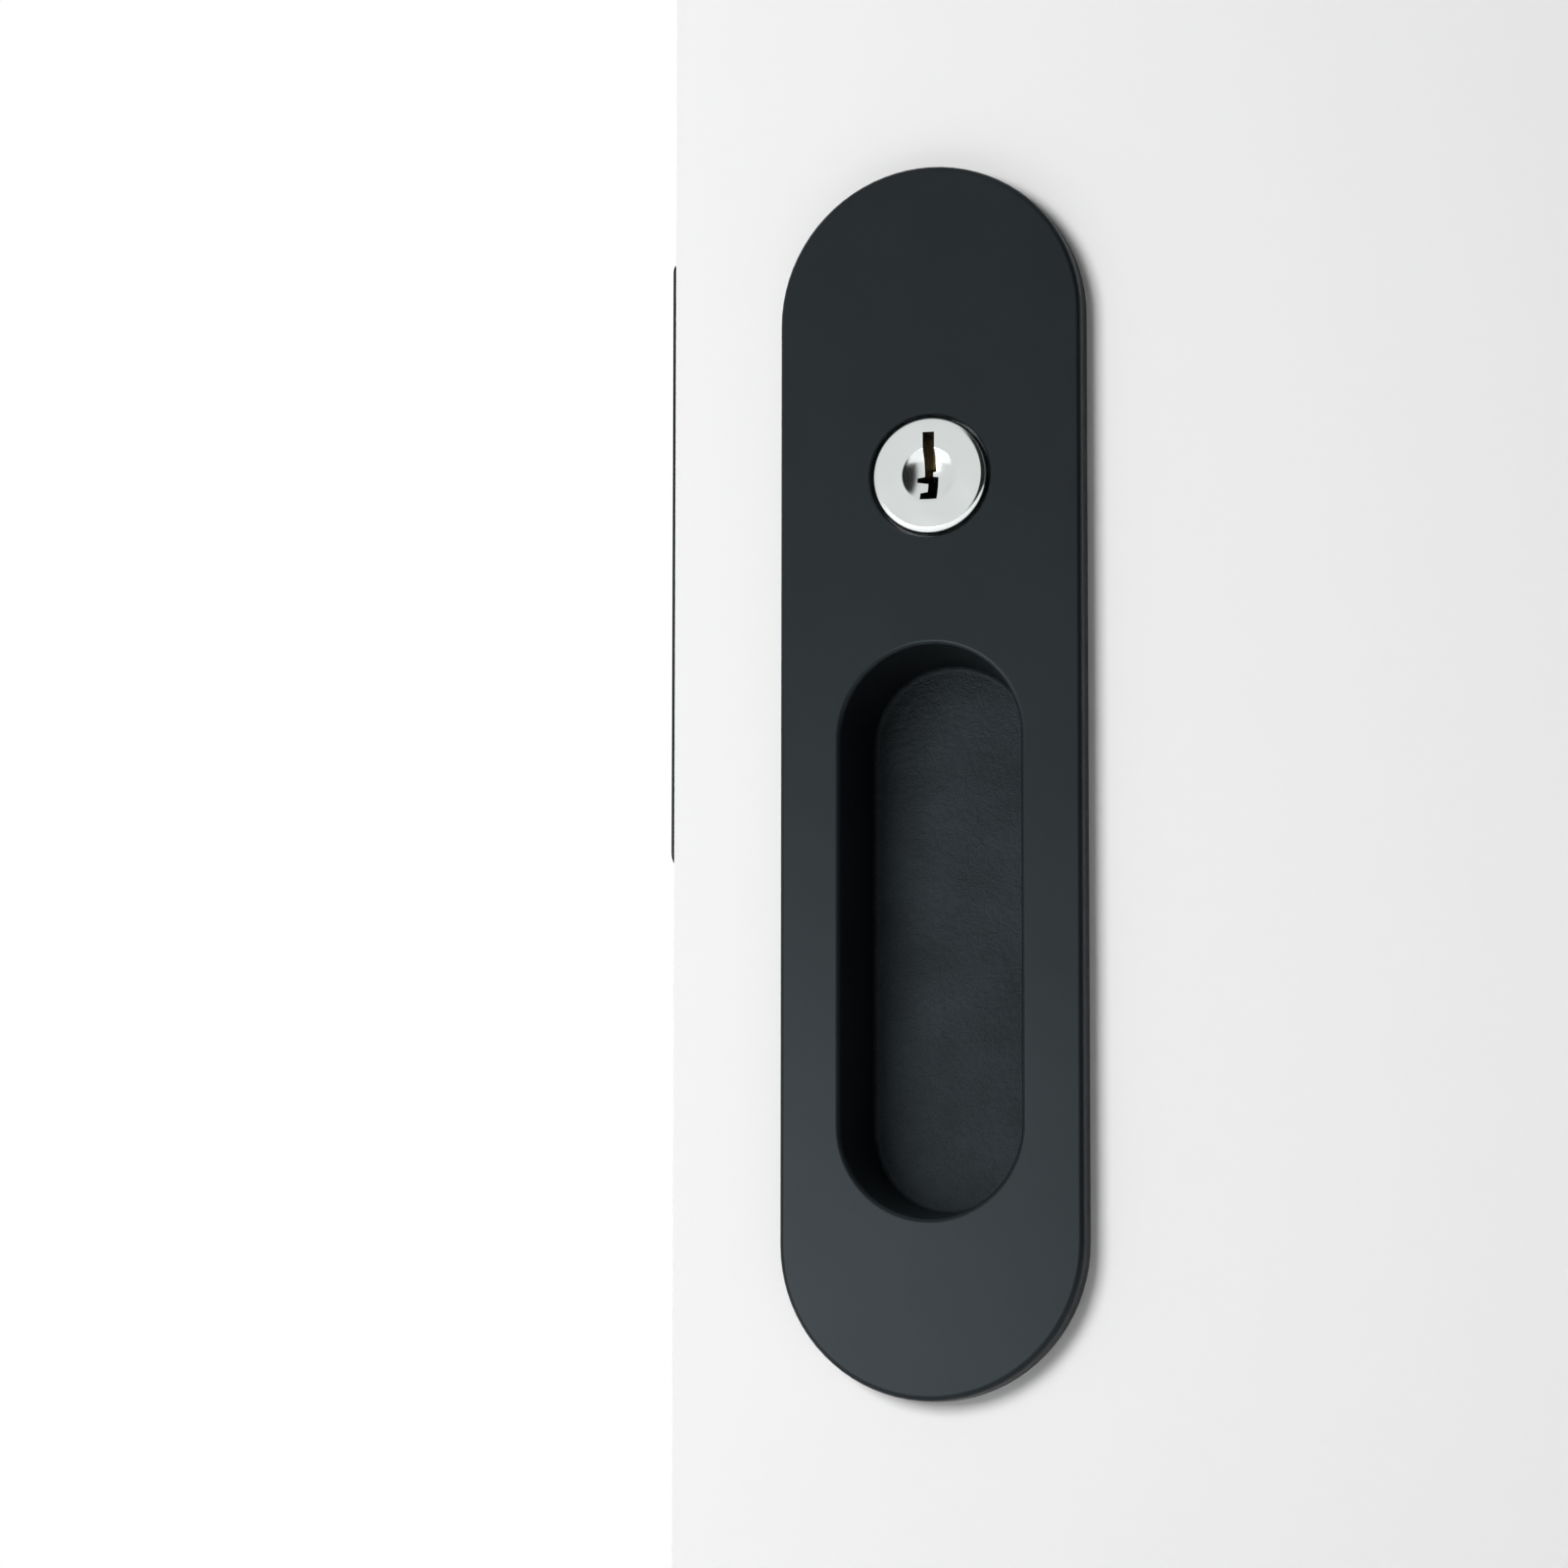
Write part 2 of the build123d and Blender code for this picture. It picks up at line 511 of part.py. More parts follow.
# Hub: turned by the thumb-turn's spindle from the inside and by the key's tail bar from the outside.
# The tail bar's opening leaves a quarter turn free, so that the key can turn back and be taken out
HUB_FIRST_TOOTH = 180 + MESH_ANGLE
with BuildPart() as hub:
    with BuildSketch(facing_out(BACKSET, CASE_HALF, KEY_Z)):
        Circle(TRUNNION_RADIUS)
    extrude(amount=2 * CASE_HALF)
    with BuildSketch(facing_out(BACKSET, COLLAR_HALF, KEY_Z)):
        Circle(COLLAR_RADIUS)
    extrude(amount=2 * COLLAR_HALF)
    with BuildSketch(facing_out(BACKSET, SECTOR_HALF, KEY_Z)):
        add(toothed_sector(HUB_FIRST_TOOTH))
        Circle(DETENT_RADIUS)
        for angle in (90, 180):
            with BuildLine():
                mouth = [polar(10.8, angle - 10.7), polar(10.8, angle + 10.7)]
                Polyline(polar(DETENT_RADIUS - 1.25, angle), *mouth, close=True)
            make_face(mode=Mode.SUBTRACT)
    extrude(amount=2 * SECTOR_HALF)
    with BuildSketch(facing_out(BACKSET, CASE_HALF, KEY_Z)):
        Rectangle(SPINDLE + 0.1, SPINDLE + 0.1)
    extrude(amount=CASE_HALF - 0.8, mode=Mode.SUBTRACT)
    with BuildSketch(facing_out(BACKSET, -0.8, KEY_Z)):
        swing = TAIL_WIDTH / 2 + 0.15
        with Locations((-swing / 2, swing / 2), (swing / 2, -swing / 2)):
            Rectangle(swing, swing)
        Circle(swing, mode=Mode.INTERSECT)
        Rectangle(TAIL_THICKNESS + 0.1, TAIL_WIDTH + 0.1)
        Rectangle(TAIL_WIDTH + 0.1, TAIL_THICKNESS + 0.1)
    extrude(amount=CASE_HALF - 0.8, mode=Mode.SUBTRACT)
save(hub, "hub")

# Hook bolt, drawn in: its claw stands up inside the case and swings out through the forend
HOOK_FIRST_TOOTH = MESH_ANGLE - TOOTH_STEP / 2 - (TEETH_CUT - 1) * TOOTH_STEP
with BuildPart() as hook_bolt:
    with BuildSketch(facing_out(PIVOT_X, SECTOR_HALF, PIVOT_Z)) as hook_outline:
        with BuildLine():
            inner_arc = CenterArc((0, 0), CLAW_INNER, 72, 25)
            outer_arc = CenterArc((0, 0), CLAW_OUTER, 57, 42)
            Line(inner_arc @ 1, outer_arc @ 1)
            arm = [polar(ROOT_RADIUS, 48), (0, 0), polar(HOOK_DISC_RADIUS, 100)]
            Polyline(outer_arc @ 0, *arm, inner_arc @ 0)
        make_face()
        fillet(hook_outline.vertices().sort_by(Axis.X)[:2], 1.0)
        with BuildLine():
            shoulder = CenterArc((0, 0), ROOT_RADIUS, HOOK_FIRST_TOOTH, 49 - HOOK_FIRST_TOOTH)
            Polyline(shoulder @ 1, (0, 0), shoulder @ 0)
        make_face()
        add(toothed_sector(HOOK_FIRST_TOOTH))
        Circle(HOOK_DISC_RADIUS)
    extrude(amount=2 * SECTOR_HALF)
    with BuildSketch(facing_out(PIVOT_X, COLLAR_HALF, PIVOT_Z)):
        Circle(HOOK_PIN_RADIUS + 2.2)
    extrude(amount=2 * COLLAR_HALF)
    with BuildSketch(facing_out(PIVOT_X, COLLAR_HALF, PIVOT_Z)):
        Circle(HOOK_PIN_RADIUS + TRUNNION_GAP)
    extrude(amount=2 * COLLAR_HALF, mode=Mode.SUBTRACT)
save(hook_bolt, "hook_bolt")

with BuildPart() as hook_pivot:
    with BuildSketch(facing_out(PIVOT_X, CASE_HALF, PIVOT_Z)):
        Circle(HOOK_PIN_RADIUS)
    extrude(amount=2 * CASE_HALF)
    with BuildSketch(facing_in(PIVOT_X, CASE_HALF, PIVOT_Z)):
        Circle(HOOK_PIN_RADIUS + 1.2)
    extrude(amount=1.0)
    chamfer(hook_pivot.faces().sort_by(Axis.Y)[-1].edges(), 0.4)
save(hook_pivot, "hook_pivot")

# Detent: a leaf spring whose nose drops into a notch of the hub at each end of its quarter turn
LEAF_THICKNESS = 0.4
EYE_RADIUS = SPRING_POST_RADIUS + LEAF_THICKNESS / 2 + 0.05
with BuildPart() as detent_spring:
    with BuildSketch(facing_out(BACKSET, 1.8, KEY_Z)):
        post_x, post_z = SPRING_POST[0] - BACKSET, SPRING_POST[1] - KEY_Z
        with BuildLine():
            eye = CenterArc((post_x, post_z), EYE_RADIUS, -90, 250)
            bends = [(2.4, post_z - EYE_RADIUS), (0, 9.25), (-2.4, 11.05), (-3.8, 11.4)]
            leaf = FilletPolyline(eye @ 0, *bends, radius=0.5)
            offset(amount=LEAF_THICKNESS / 2)
        make_face()
    extrude(amount=3.6)
save(detent_spring, "detent_spring")

with BuildPart() as spring_post:
    with BuildSketch(facing_out(SPRING_POST[0], CASE_HALF, SPRING_POST[1])):
        Circle(SPRING_POST_RADIUS)
    extrude(amount=2 * CASE_HALF)
save(spring_post, "spring_post")

# Thumb-turn: a cast knob with an upright wing, held in the inner plate by a washer and a clip
NECK_END = -OUTER_BACK - 2.7
DISC_BACK = -OUTER_FACE + 0.2
DISC_FACE = DISC_BACK + KNOB_DISC_THICKNESS
SOCKET_END = DISC_FACE + 7.0
GRUB_Y = DISC_FACE + 4.0
KNOB_GROOVE = -OUTER_BACK - 1.55
WASHER_THICKNESS = 0.5
with BuildPart() as thumb_knob:
    with BuildSketch(facing_in(BACKSET, NECK_END, KEY_Z)):
        Circle(KNOB_NECK_RADIUS)
    extrude(amount=DISC_BACK - NECK_END)
    with BuildSketch(facing_in(BACKSET, DISC_BACK, KEY_Z)):
        Circle(KNOB_DISC_RADIUS)
    extrude(amount=KNOB_DISC_THICKNESS)
    chamfer(thumb_knob.faces().sort_by(Axis.Y)[-1].edges(), 0.6)
    with BuildSketch(facing_in(BACKSET, DISC_FACE - 0.8, KEY_Z)):
        SlotOverall(0.72 * WING_LENGTH, WING_WIDTH, rotation=90)
    with BuildSketch(facing_in(BACKSET, DISC_FACE + WING_HEIGHT, KEY_Z)):
        SlotOverall(WING_LENGTH, 0.7 * WING_WIDTH, rotation=90)
    loft()
    chamfer(thumb_knob.faces().sort_by(Axis.Y)[-1].edges(), 1.2)
    with BuildSketch(facing_in(BACKSET, NECK_END, KEY_Z)):
        Rectangle(SPINDLE + 0.1, SPINDLE + 0.1)
    extrude(amount=SOCKET_END - NECK_END, mode=Mode.SUBTRACT)
    with BuildSketch(facing_in(BACKSET, KNOB_GROOVE - 0.05, KEY_Z)):
        Circle(KNOB_NECK_RADIUS + 1)
        Circle(GROOVE_RADIUS - 0.6, mode=Mode.SUBTRACT)
    extrude(amount=CLIP_THICKNESS + 0.1, mode=Mode.SUBTRACT)
    with BuildSketch(facing_edge(BACKSET, GRUB_Y, KEY_Z)):
        Circle(1.5)
    extrude(amount=WING_WIDTH, mode=Mode.SUBTRACT)
save(thumb_knob, "thumb_knob")

with BuildPart() as knob_clip:
    clip_seat = facing_in(BACKSET, KNOB_GROOVE, KEY_Z)
    add(retaining_clip(clip_seat, GROOVE_RADIUS - 0.55, KNOB_NECK_RADIUS + 2.2, CLIP_THICKNESS))
save(knob_clip, "knob_clip")

with BuildPart() as knob_washer:
    with BuildSketch(facing_in(BACKSET, -OUTER_BACK - WASHER_THICKNESS - 0.05, KEY_Z)):
        Circle(KNOB_NECK_RADIUS + 3.0)
        Circle(KNOB_NECK_RADIUS + 0.15, mode=Mode.SUBTRACT)
    extrude(amount=WASHER_THICKNESS)
save(knob_washer, "knob_washer")

with BuildPart() as spindle:
    with BuildSketch(facing_in(BACKSET, 0.9, KEY_Z)):
        Rectangle(SPINDLE, SPINDLE)
    extrude(amount=SOCKET_END - 1.0)
    chamfer(spindle.faces().sort_by(Axis.Y)[0].edges(), 0.5)
save(spindle, "spindle")

with BuildPart() as grub_screw:
    with BuildSketch(facing_edge(BACKSET - SPINDLE / 2, GRUB_Y, KEY_Z)):
        Circle(1.45)
    extrude(amount=1.0)
save(grub_screw, "grub_screw")
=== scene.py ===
"""Lock for a sliding door: meshes, finishes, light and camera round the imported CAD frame.

Sizes are in millimetres until a mesh is written, and the frame is the CAD's: -X out of the
door's edge, -Y to the outside of the door, +Z up.
"""
import logging
import math
from collections.abc import Iterable, Sequence
from dataclasses import dataclass, field
from enum import Enum
from functools import cache

import bmesh
import bpy
from mathutils import Matrix, Vector


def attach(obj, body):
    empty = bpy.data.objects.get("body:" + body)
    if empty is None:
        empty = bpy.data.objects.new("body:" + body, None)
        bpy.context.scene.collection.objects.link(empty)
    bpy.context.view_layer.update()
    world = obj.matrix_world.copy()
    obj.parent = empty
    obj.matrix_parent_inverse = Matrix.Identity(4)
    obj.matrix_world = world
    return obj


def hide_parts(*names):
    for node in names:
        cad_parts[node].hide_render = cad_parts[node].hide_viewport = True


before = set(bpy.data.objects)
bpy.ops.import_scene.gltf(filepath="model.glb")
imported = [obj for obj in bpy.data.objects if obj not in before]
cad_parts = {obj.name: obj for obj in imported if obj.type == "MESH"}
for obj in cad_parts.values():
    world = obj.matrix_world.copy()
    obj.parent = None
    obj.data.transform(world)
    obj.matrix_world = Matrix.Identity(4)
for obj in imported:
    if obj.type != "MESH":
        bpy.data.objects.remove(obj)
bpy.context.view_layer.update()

MM = 0.001
BACKSET = 40.0  # from the forend's face to the key's axis
KEY_Z = 10.0
DOOR_HALF = 20.0
EAR_REACH = 15.0  # from the key's axis to each screw of the barrel
BOLT_HEIGHTS = (35.0, -111.0)
SMOOTH_ANGLE = math.radians(32)
HEXAGON_CORNER = 0.57735  # a hexagon's corner radius for each unit across its flats
POCKET = 1  # the plate's material slot for the pull's floor

Point = tuple[float, float, float]
Pair = tuple[float, float]
Color = tuple[float, float, float]
Socket = bpy.types.NodeSocket
Value = float | Socket
Material = bpy.types.Material
Mesh = bpy.types.Mesh
Piece = bpy.types.Object
Ring = list[bmesh.types.BMVert]
Outlines = Sequence[Sequence[Point]]
log = logging.getLogger("door_lock")


class Side(Enum):
    """The side of the door that a plate is on, as the sign of its Y."""

    OUTSIDE = -1
    INSIDE = 1


class Lay(Enum):
    """How the tool marks run over a bare metal, as their stretch along each axis."""

    CAST = (1, 1, 1)
    UPRIGHT = (1, 1, 0.04)
    ACROSS = (0.04, 1, 1)
    TURNED = (1, 0, 1)


class Drive(Enum):
    """What a screw is turned by; the value says whether it is slotted."""

    HEXAGON = False
    SLOT = True


class Facing(Enum):
    """Where a screw's head looks, as its turn from +Z."""

    INSIDE = (-math.pi / 2, 0, 0)
    EDGE = (0, -math.pi / 2, 0)


class NodeTree:
    """A tree of nodes, with short calls that add and join them."""

    family = "ShaderNode"

    def __init__(self, tree: bpy.types.NodeTree) -> None:
        """Takes an empty tree."""
        self.tree = tree

    def add(self, kind: str, inputs: dict[int | str, object] | None = None, take: int | str = 0,
            **settings: object) -> Socket:
        """Adds one node.

        Args:
            kind: the node's type; the tree's own family may be left out.
            inputs: values or sockets for its inputs, by name or number.
            take: the output that is wanted.
            settings: the node's own settings.

        Returns:
            That output.
        """
        node = self.tree.nodes.new(kind if "Node" in kind else self.family + kind)
        for key, value in settings.items():
            setattr(node, key, value)
        for key, value in (inputs or {}).items():
            if isinstance(value, Socket):
                self.tree.links.new(value, node.inputs[key])
            else:
                node.inputs[key].default_value = value
        return node.outputs[take]

    def math(self, operation: str, first: Value, second: Value = 0.0) -> Socket:
        """Adds one sum and returns its result."""
        return self.add("ShaderNodeMath", {0: first, 1: second}, operation=operation)


class ShaderTree(NodeTree):
    """The nodes of a material or of the world."""

    def __init__(self, owner: Material | bpy.types.World) -> None:
        """Empties the nodes of a material or a world.

        Args:
            owner: what the nodes belong to.
        """
        owner.use_nodes = True
        super().__init__(owner.node_tree)
        self.tree.nodes.clear()
        self.owner = owner

    def place(self, stretch: Point = (1, 1, 1), centre: Point = (0, 0, 0)) -> Socket:
        """The object's own coordinates, with zero at a centre in millimetres and each axis stretched."""
        shift = tuple(-c * MM * s for c, s in zip(centre, stretch))
        return self.add("Mapping", {"Vector": self.add("TexCoord", take="Object"), "Location": shift, "Scale": stretch})

    def noise(self, size: float, detail: float, vector: Socket) -> Socket:
        """A noise value whose marks are about size millimetres wide."""
        return self.add("TexNoise", {"Vector": vector, "Scale": 1 / (size * MM), "Detail": detail})

    def spread(self, value: Socket, low: Value, high: Value, start: float = 0.3, end: float = 0.7,
               shape: str = "LINEAR") -> Socket:
        """Maps a value between start and end to low and high."""
        ends = {"Value": value, "From Min": start, "From Max": end, "To Min": low, "To Max": high}
        return self.add("MapRange", ends, interpolation_type=shape)

    def blend(self, value: Socket, first: Color, second: Color) -> Socket:
        """Mixes two colours by a value."""
        return self.add("Mix", {0: value, 6: (*first, 1), 7: (*second, 1)}, 2, data_type="RGBA")

    def bump(self, height: Socket, depth: float, strength: float = 1.0, below: Socket | None = None) -> Socket:
        """Turns a height that is depth millimetres at 1 into a normal, on top of the one below."""
        inputs = {"Height": height, "Distance": depth * MM, "Strength": strength}
        return self.add("Bump", inputs | ({"Normal": below} if below else {}))

    def rays(self) -> tuple[Socket, Socket]:
        """Whether the camera looks, and whether a mirror or glass does."""
        path = self.add("LightPath").node.outputs
        return path["Is Camera Ray"], self.math("ADD", path["Is Glossy Ray"], path["Is Transmission Ray"])

    def end(self, shader: Socket) -> Material | bpy.types.World:
        """Joins a shader to the output.

        Args:
            shader: the shader.

        Returns:
            What the nodes belong to.
        """
        output = self.tree.nodes.new("ShaderNodeOutput" + type(self.owner).__name__)
        self.tree.links.new(shader, output.inputs["Surface"])
        return self.owner

    def surface(self, **inputs: object) -> Material:
        """Ends a material with one shader, whose inputs are named with underscores for spaces."""
        named = {key.replace("_", " "): value for key, value in inputs.items()}
        return self.end(self.add("BsdfPrincipled", named))


@dataclass(frozen=True)
class Coat:
    """A sprayed coat on metal: its colour, sheen and the grain of its skin."""

    name: str
    slot: str
    color: Color
    tint: Color
    roughness: float
    grain: float
    grain_depth: float
    mottle: float = 14.0
    specular: float = 0.20
    sheen: Color = (0.80, 0.92, 1.0)
    swing: float = 0.06  # how far the roughness strays

    @cache
    def make(self) -> Material:
        """Builds the coat's material when it is first asked for.

        Returns:
            The material.
        """
        tree = ShaderTree(bpy.data.materials.new(self.name))
        place = tree.place()
        cloud = tree.noise(self.mottle, 3, place)
        speck = tree.noise(self.grain, 4, place)
        peel = tree.noise(self.grain * 3, 2, place)
        share = tree.spread(tree.math("ADD", cloud, speck), 0, 1, 0.8, 1.2)
        normal = tree.bump(speck, self.grain_depth, 1.0, tree.bump(peel, self.grain_depth * 2, 0.5))
        roughness = tree.spread(speck, self.roughness - self.swing, self.roughness + self.swing)
        return tree.surface(Base_Color=tree.blend(share, self.color, self.tint), Roughness=roughness,
                            Normal=normal, Specular_IOR_Level=self.specular, Specular_Tint=(*self.sheen, 1))


@dataclass(frozen=True)
class BareMetal:
    """A plated, cast or machined metal: its colour, dull spots and tool marks."""

    name: str
    slot: str
    color: Color
    dull: Color
    roughness: float
    lay: Lay
    mark: float = 0.15
    mark_depth: float = 0.004
    cloud: float = 5.0
    brighter: float = 0.07  # how far the roughness falls
    duller: float = 0.09  # how far it rises

    @cache
    def make(self) -> Material:
        """Builds the metal's material when it is first asked for.

        Returns:
            The material.
        """
        tree = ShaderTree(bpy.data.materials.new(self.name))
        cloud = tree.noise(self.cloud, 4, tree.place())
        marks = self.marks(tree)
        roughness = tree.spread(tree.math("ADD", cloud, marks), self.roughness - self.brighter,
                                self.roughness + self.duller, 0.7, 1.3)
        return tree.surface(Base_Color=tree.blend(tree.spread(cloud, 0, 1), self.color, self.dull),
                            Roughness=roughness, Normal=tree.bump(marks, self.mark_depth), Metallic=1.0)

    def marks(self, tree: ShaderTree) -> Socket:
        """Gives the height of the tool marks.

        Args:
            tree: the material that they go into.

        Returns:
            The height socket.
        """
        if self.lay is Lay.TURNED:
            centred = tree.place(self.lay.value, (BACKSET, 0, KEY_Z))
            radius = tree.add("VectorMath", {0: centred}, "Value", operation="LENGTH")
            return tree.add("TexNoise", {"W": radius, "Scale": 1 / (self.mark * MM), "Detail": 3.0},
                            noise_dimensions="1D")
        return tree.noise(self.mark, 5 if self.lay is Lay.CAST else 3, tree.place(self.lay.value))


Finish = Coat | BareMetal
Parts = Sequence[tuple[str, str, Finish, float]]  # body, node, finish and rounding of machined parts

BLACK_COAT = Coat(
    "black_coat", "black_coat", (0.0069, 0.0088, 0.0100), (0.0083, 0.0108, 0.0120),
    roughness=0.36, grain=0.16, grain_depth=0.0022)
POCKET_COAT = Coat(
    "pocket_coat", "black_coat", (0.0085, 0.0109, 0.0126), (0.0172, 0.0220, 0.0252),
    roughness=0.44, grain=0.30, grain_depth=0.11, mottle=9.0, specular=0.17)
BLACK_OXIDE = Coat(
    "black_oxide", "black_screws", (0.009, 0.009, 0.0098), (0.017, 0.016, 0.0155),
    roughness=0.36, grain=0.12, grain_depth=0.003, mottle=3.0, specular=0.22, sheen=(1.0, 1.0, 1.0))
SATIN_NICKEL = BareMetal(
    "satin_nickel", "satin_nickel", (0.755, 0.79, 0.78), (0.73, 0.765, 0.757),
    roughness=0.16, lay=Lay.TURNED, mark=0.12, mark_depth=0.0010)
# Near-black metal for the walls of the plug's key slot, wafer slots and tail slot: painted shade in these recesses.
PAINTED_SHADE_BORE = BareMetal(
    "painted_shade_bore", "satin_nickel", (0.10, 0.10, 0.115), (0.05, 0.05, 0.06),
    roughness=0.42, lay=Lay.CAST, mark=0.2, mark_depth=0.006, cloud=1.0)
CAST_ZINC = BareMetal(
    "cast_zinc", "zinc", (0.52, 0.53, 0.55), (0.42, 0.43, 0.45),
    roughness=0.45, lay=Lay.CAST, mark=0.25, mark_depth=0.012)
SHEET_ZINC = BareMetal(
    "sheet_zinc", "zinc_plate", (0.62, 0.63, 0.64), (0.52, 0.535, 0.55),
    roughness=0.34, lay=Lay.UPRIGHT, mark=0.2, mark_depth=0.005, cloud=9.0)
SINTERED = BareMetal(
    "sintered_steel", "sintered_steel", (0.33, 0.33, 0.335), (0.24, 0.235, 0.23),
    roughness=0.5, lay=Lay.CAST, mark=0.12, mark_depth=0.014)
HOOK_PLATE = BareMetal(
    "hook_nickel", "bright_steel", (0.68, 0.68, 0.67), (0.6, 0.6, 0.595),
    roughness=0.24, lay=Lay.UPRIGHT, mark=0.1, mark_depth=0.003)
SCREW_ZINC = BareMetal(
    "screw_zinc", "steel", (0.6, 0.61, 0.63), (0.5, 0.51, 0.52),
    roughness=0.3, lay=Lay.CAST, mark=0.3, mark_depth=0.006, cloud=2.0)
SPRING = BareMetal(
    "spring_steel", "spring_steel", (0.4, 0.41, 0.43), (0.3, 0.31, 0.33),
    roughness=0.28, lay=Lay.ACROSS, mark=0.1, mark_depth=0.003, cloud=2.0)
BRASS = BareMetal(
    "wafer_brass", "brass", (0.68, 0.50, 0.22), (0.52, 0.36, 0.14),
    roughness=0.3, lay=Lay.CAST, mark=0.12, mark_depth=0.003, cloud=1.5)


def placed(name: str, data: bpy.types.ID) -> Piece:
    """Puts a mesh, lamp or camera into the scene.

    Args:
        name: the object's name.
        data: what it holds.

    Returns:
        The new object, at the origin.
    """
    made = bpy.data.objects.new(name, data)
    bpy.context.scene.collection.objects.link(made)
    return made


def smooth(mesh: Mesh) -> Mesh:
    """Shades a mesh smooth up to its sharp edges.

    Args:
        mesh: the mesh.

    Returns:
        The same mesh.
    """
    mesh.shade_smooth()
    mesh.set_sharp_from_angle(angle=SMOOTH_ANGLE)
    return mesh


def baked(piece: Piece) -> Mesh:
    """A plain mesh of a piece as its modifiers leave it."""
    bpy.context.view_layer.update()
    return bpy.data.meshes.new_from_object(piece.evaluated_get(bpy.context.evaluated_depsgraph_get()))


def keep_flat(piece: Piece) -> None:
    """Keeps a piece's flat faces flat in their shading."""
    piece.modifiers.new("shading", "WEIGHTED_NORMAL").keep_sharp = True


def soften(piece: Piece, width: float) -> None:
    """Rounds a piece's sharp edges and keeps its flat faces flat.

    Args:
        piece: the object.
        width: the width of the rounding, in millimetres.
    """
    bevel = piece.modifiers.new("edges", "BEVEL")
    bevel.width = width * MM
    bevel.segments = 2
    bevel.limit_method = "ANGLE"
    bevel.angle_limit = SMOOTH_ANGLE
    bevel.miter_outer = "MITER_ARC"
    keep_flat(piece)


def cut(piece: Piece, tool: Piece, join: bool = False) -> None:
    """Cuts a tool out of a piece, or joins it, and writes the result into the piece's mesh.

    Args:
        piece: the object that stays.
        tool: the object that is used up.
        join: whether the tool is joined.
    """
    boolean = piece.modifiers.new("cut", "BOOLEAN")
    boolean.operation = "UNION" if join else "DIFFERENCE"
    boolean.solver = "EXACT"
    boolean.material_mode = "TRANSFER"
    boolean.object = tool
    result, spent = baked(piece), (piece.data, tool.data)
    piece.modifiers.clear()
    piece.data = smooth(result)
    bpy.data.objects.remove(tool)
    for mesh in spent:
        bpy.data.meshes.remove(mesh)
    result.name = piece.name


def seat(piece: Piece, body: str, slot: str, nodes: Sequence[str]) -> None:
    """Lets a piece stand for CAD nodes and ride on their body.

    Args:
        piece: the finished object.
        body: the CAD body it rides on.
        slot: the record's material slot; not used.
        nodes: the CAD nodes that it replaces.
    """
    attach(piece, body)
    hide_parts(*nodes)
    log.info("%s stands for %s on %s", piece.name, ", ".join(nodes), body)


class Skin:
    """A mesh made of rings of points, in millimetres."""

    def __init__(self) -> None:
        """Starts with no faces."""
        self.bm = bmesh.new()

    def ring(self, points: Iterable[Point]) -> Ring:
        """Adds one loop of points and returns its vertices."""
        return [self.bm.verts.new(point) for point in points]

    def bridge(self, rings: Sequence[Ring], mark: int = 0) -> Sequence[Ring]:
        """Joins each ring to the next with four-sided faces.

        Args:
            rings: loops with the same number of points.
            mark: the material slot of the new faces.

        Returns:
            The same rings.
        """
        for low, high in zip(rings, rings[1:]):
            for n in range(len(low)):
                after = (n + 1) % len(low)
                self.bm.faces.new((low[n], low[after], high[after], high[n])).material_index = mark
        return rings

    def wall(self, outlines: Iterable[Sequence[Point]]) -> Sequence[Ring]:
        """Adds loops of points, joins each to the next and returns their rings."""
        return self.bridge([self.ring(outline) for outline in outlines])

    def cap(self, ring: Ring, mark: int = 0) -> None:
        """Closes a loop with one flat face."""
        self.bm.faces.new(ring).material_index = mark

    def sheet(self, loops: Sequence[Ring]) -> None:
        """Fills the flat area inside the first loop and outside the others.

        Args:
            loops: the rings of vertices.
        """
        pairs = [pair for loop in loops for pair in zip(loop, [*loop[1:], loop[0]])]
        edges = [self.bm.edges.get(pair) or self.bm.edges.new(pair) for pair in pairs]
        bmesh.ops.triangle_fill(self.bm, edges=edges, use_beauty=True, use_dissolve=False)

    def finish(self, name: str, *finishes: Material) -> Piece:
        """Writes the mesh in metres as an object at the origin.

        Args:
            name: the object's name.
            finishes: the materials, in slot order.

        Returns:
            The new object.
        """
        bmesh.ops.scale(self.bm, vec=(MM, MM, MM), verts=self.bm.verts)
        bmesh.ops.remove_doubles(self.bm, verts=self.bm.verts, dist=1e-7)
        bmesh.ops.recalc_face_normals(self.bm, faces=self.bm.faces)
        mesh = bpy.data.meshes.new(name)
        self.bm.to_mesh(mesh)
        self.bm.free()
        for finish in finishes:
            mesh.materials.append(finish)
        return placed(name, smooth(mesh))


def solid(name: str, outlines: Outlines, finish: Material) -> Piece:
    """Builds a closed body through loops of points.

    Args:
        name: the object's name.
        outlines: the loops, from one end to the other.
        finish: its material.

    Returns:
        The body.
    """
    skin = Skin()
    rings = skin.wall(outlines)
    skin.cap(rings[0])
    skin.cap(rings[-1])
    return skin.finish(name, finish)


def bar(corners: Sequence[Pair], start: float, end: float, finish: Material) -> Piece:
    """A straight cutter along Y whose outline is told from the key's axis."""
    return solid("cutter", [[(BACKSET + x, y, KEY_Z + z) for x, z in corners] for y in (start, end)], finish)


def box(x: float, z: float, width: float, height: float) -> list[Pair]:
    """The corners of an upright rectangle about x and z."""
    half, tall = width / 2, height / 2
    return [(x - half, z - tall), (x + half, z - tall), (x + half, z + tall), (x - half, z + tall)]


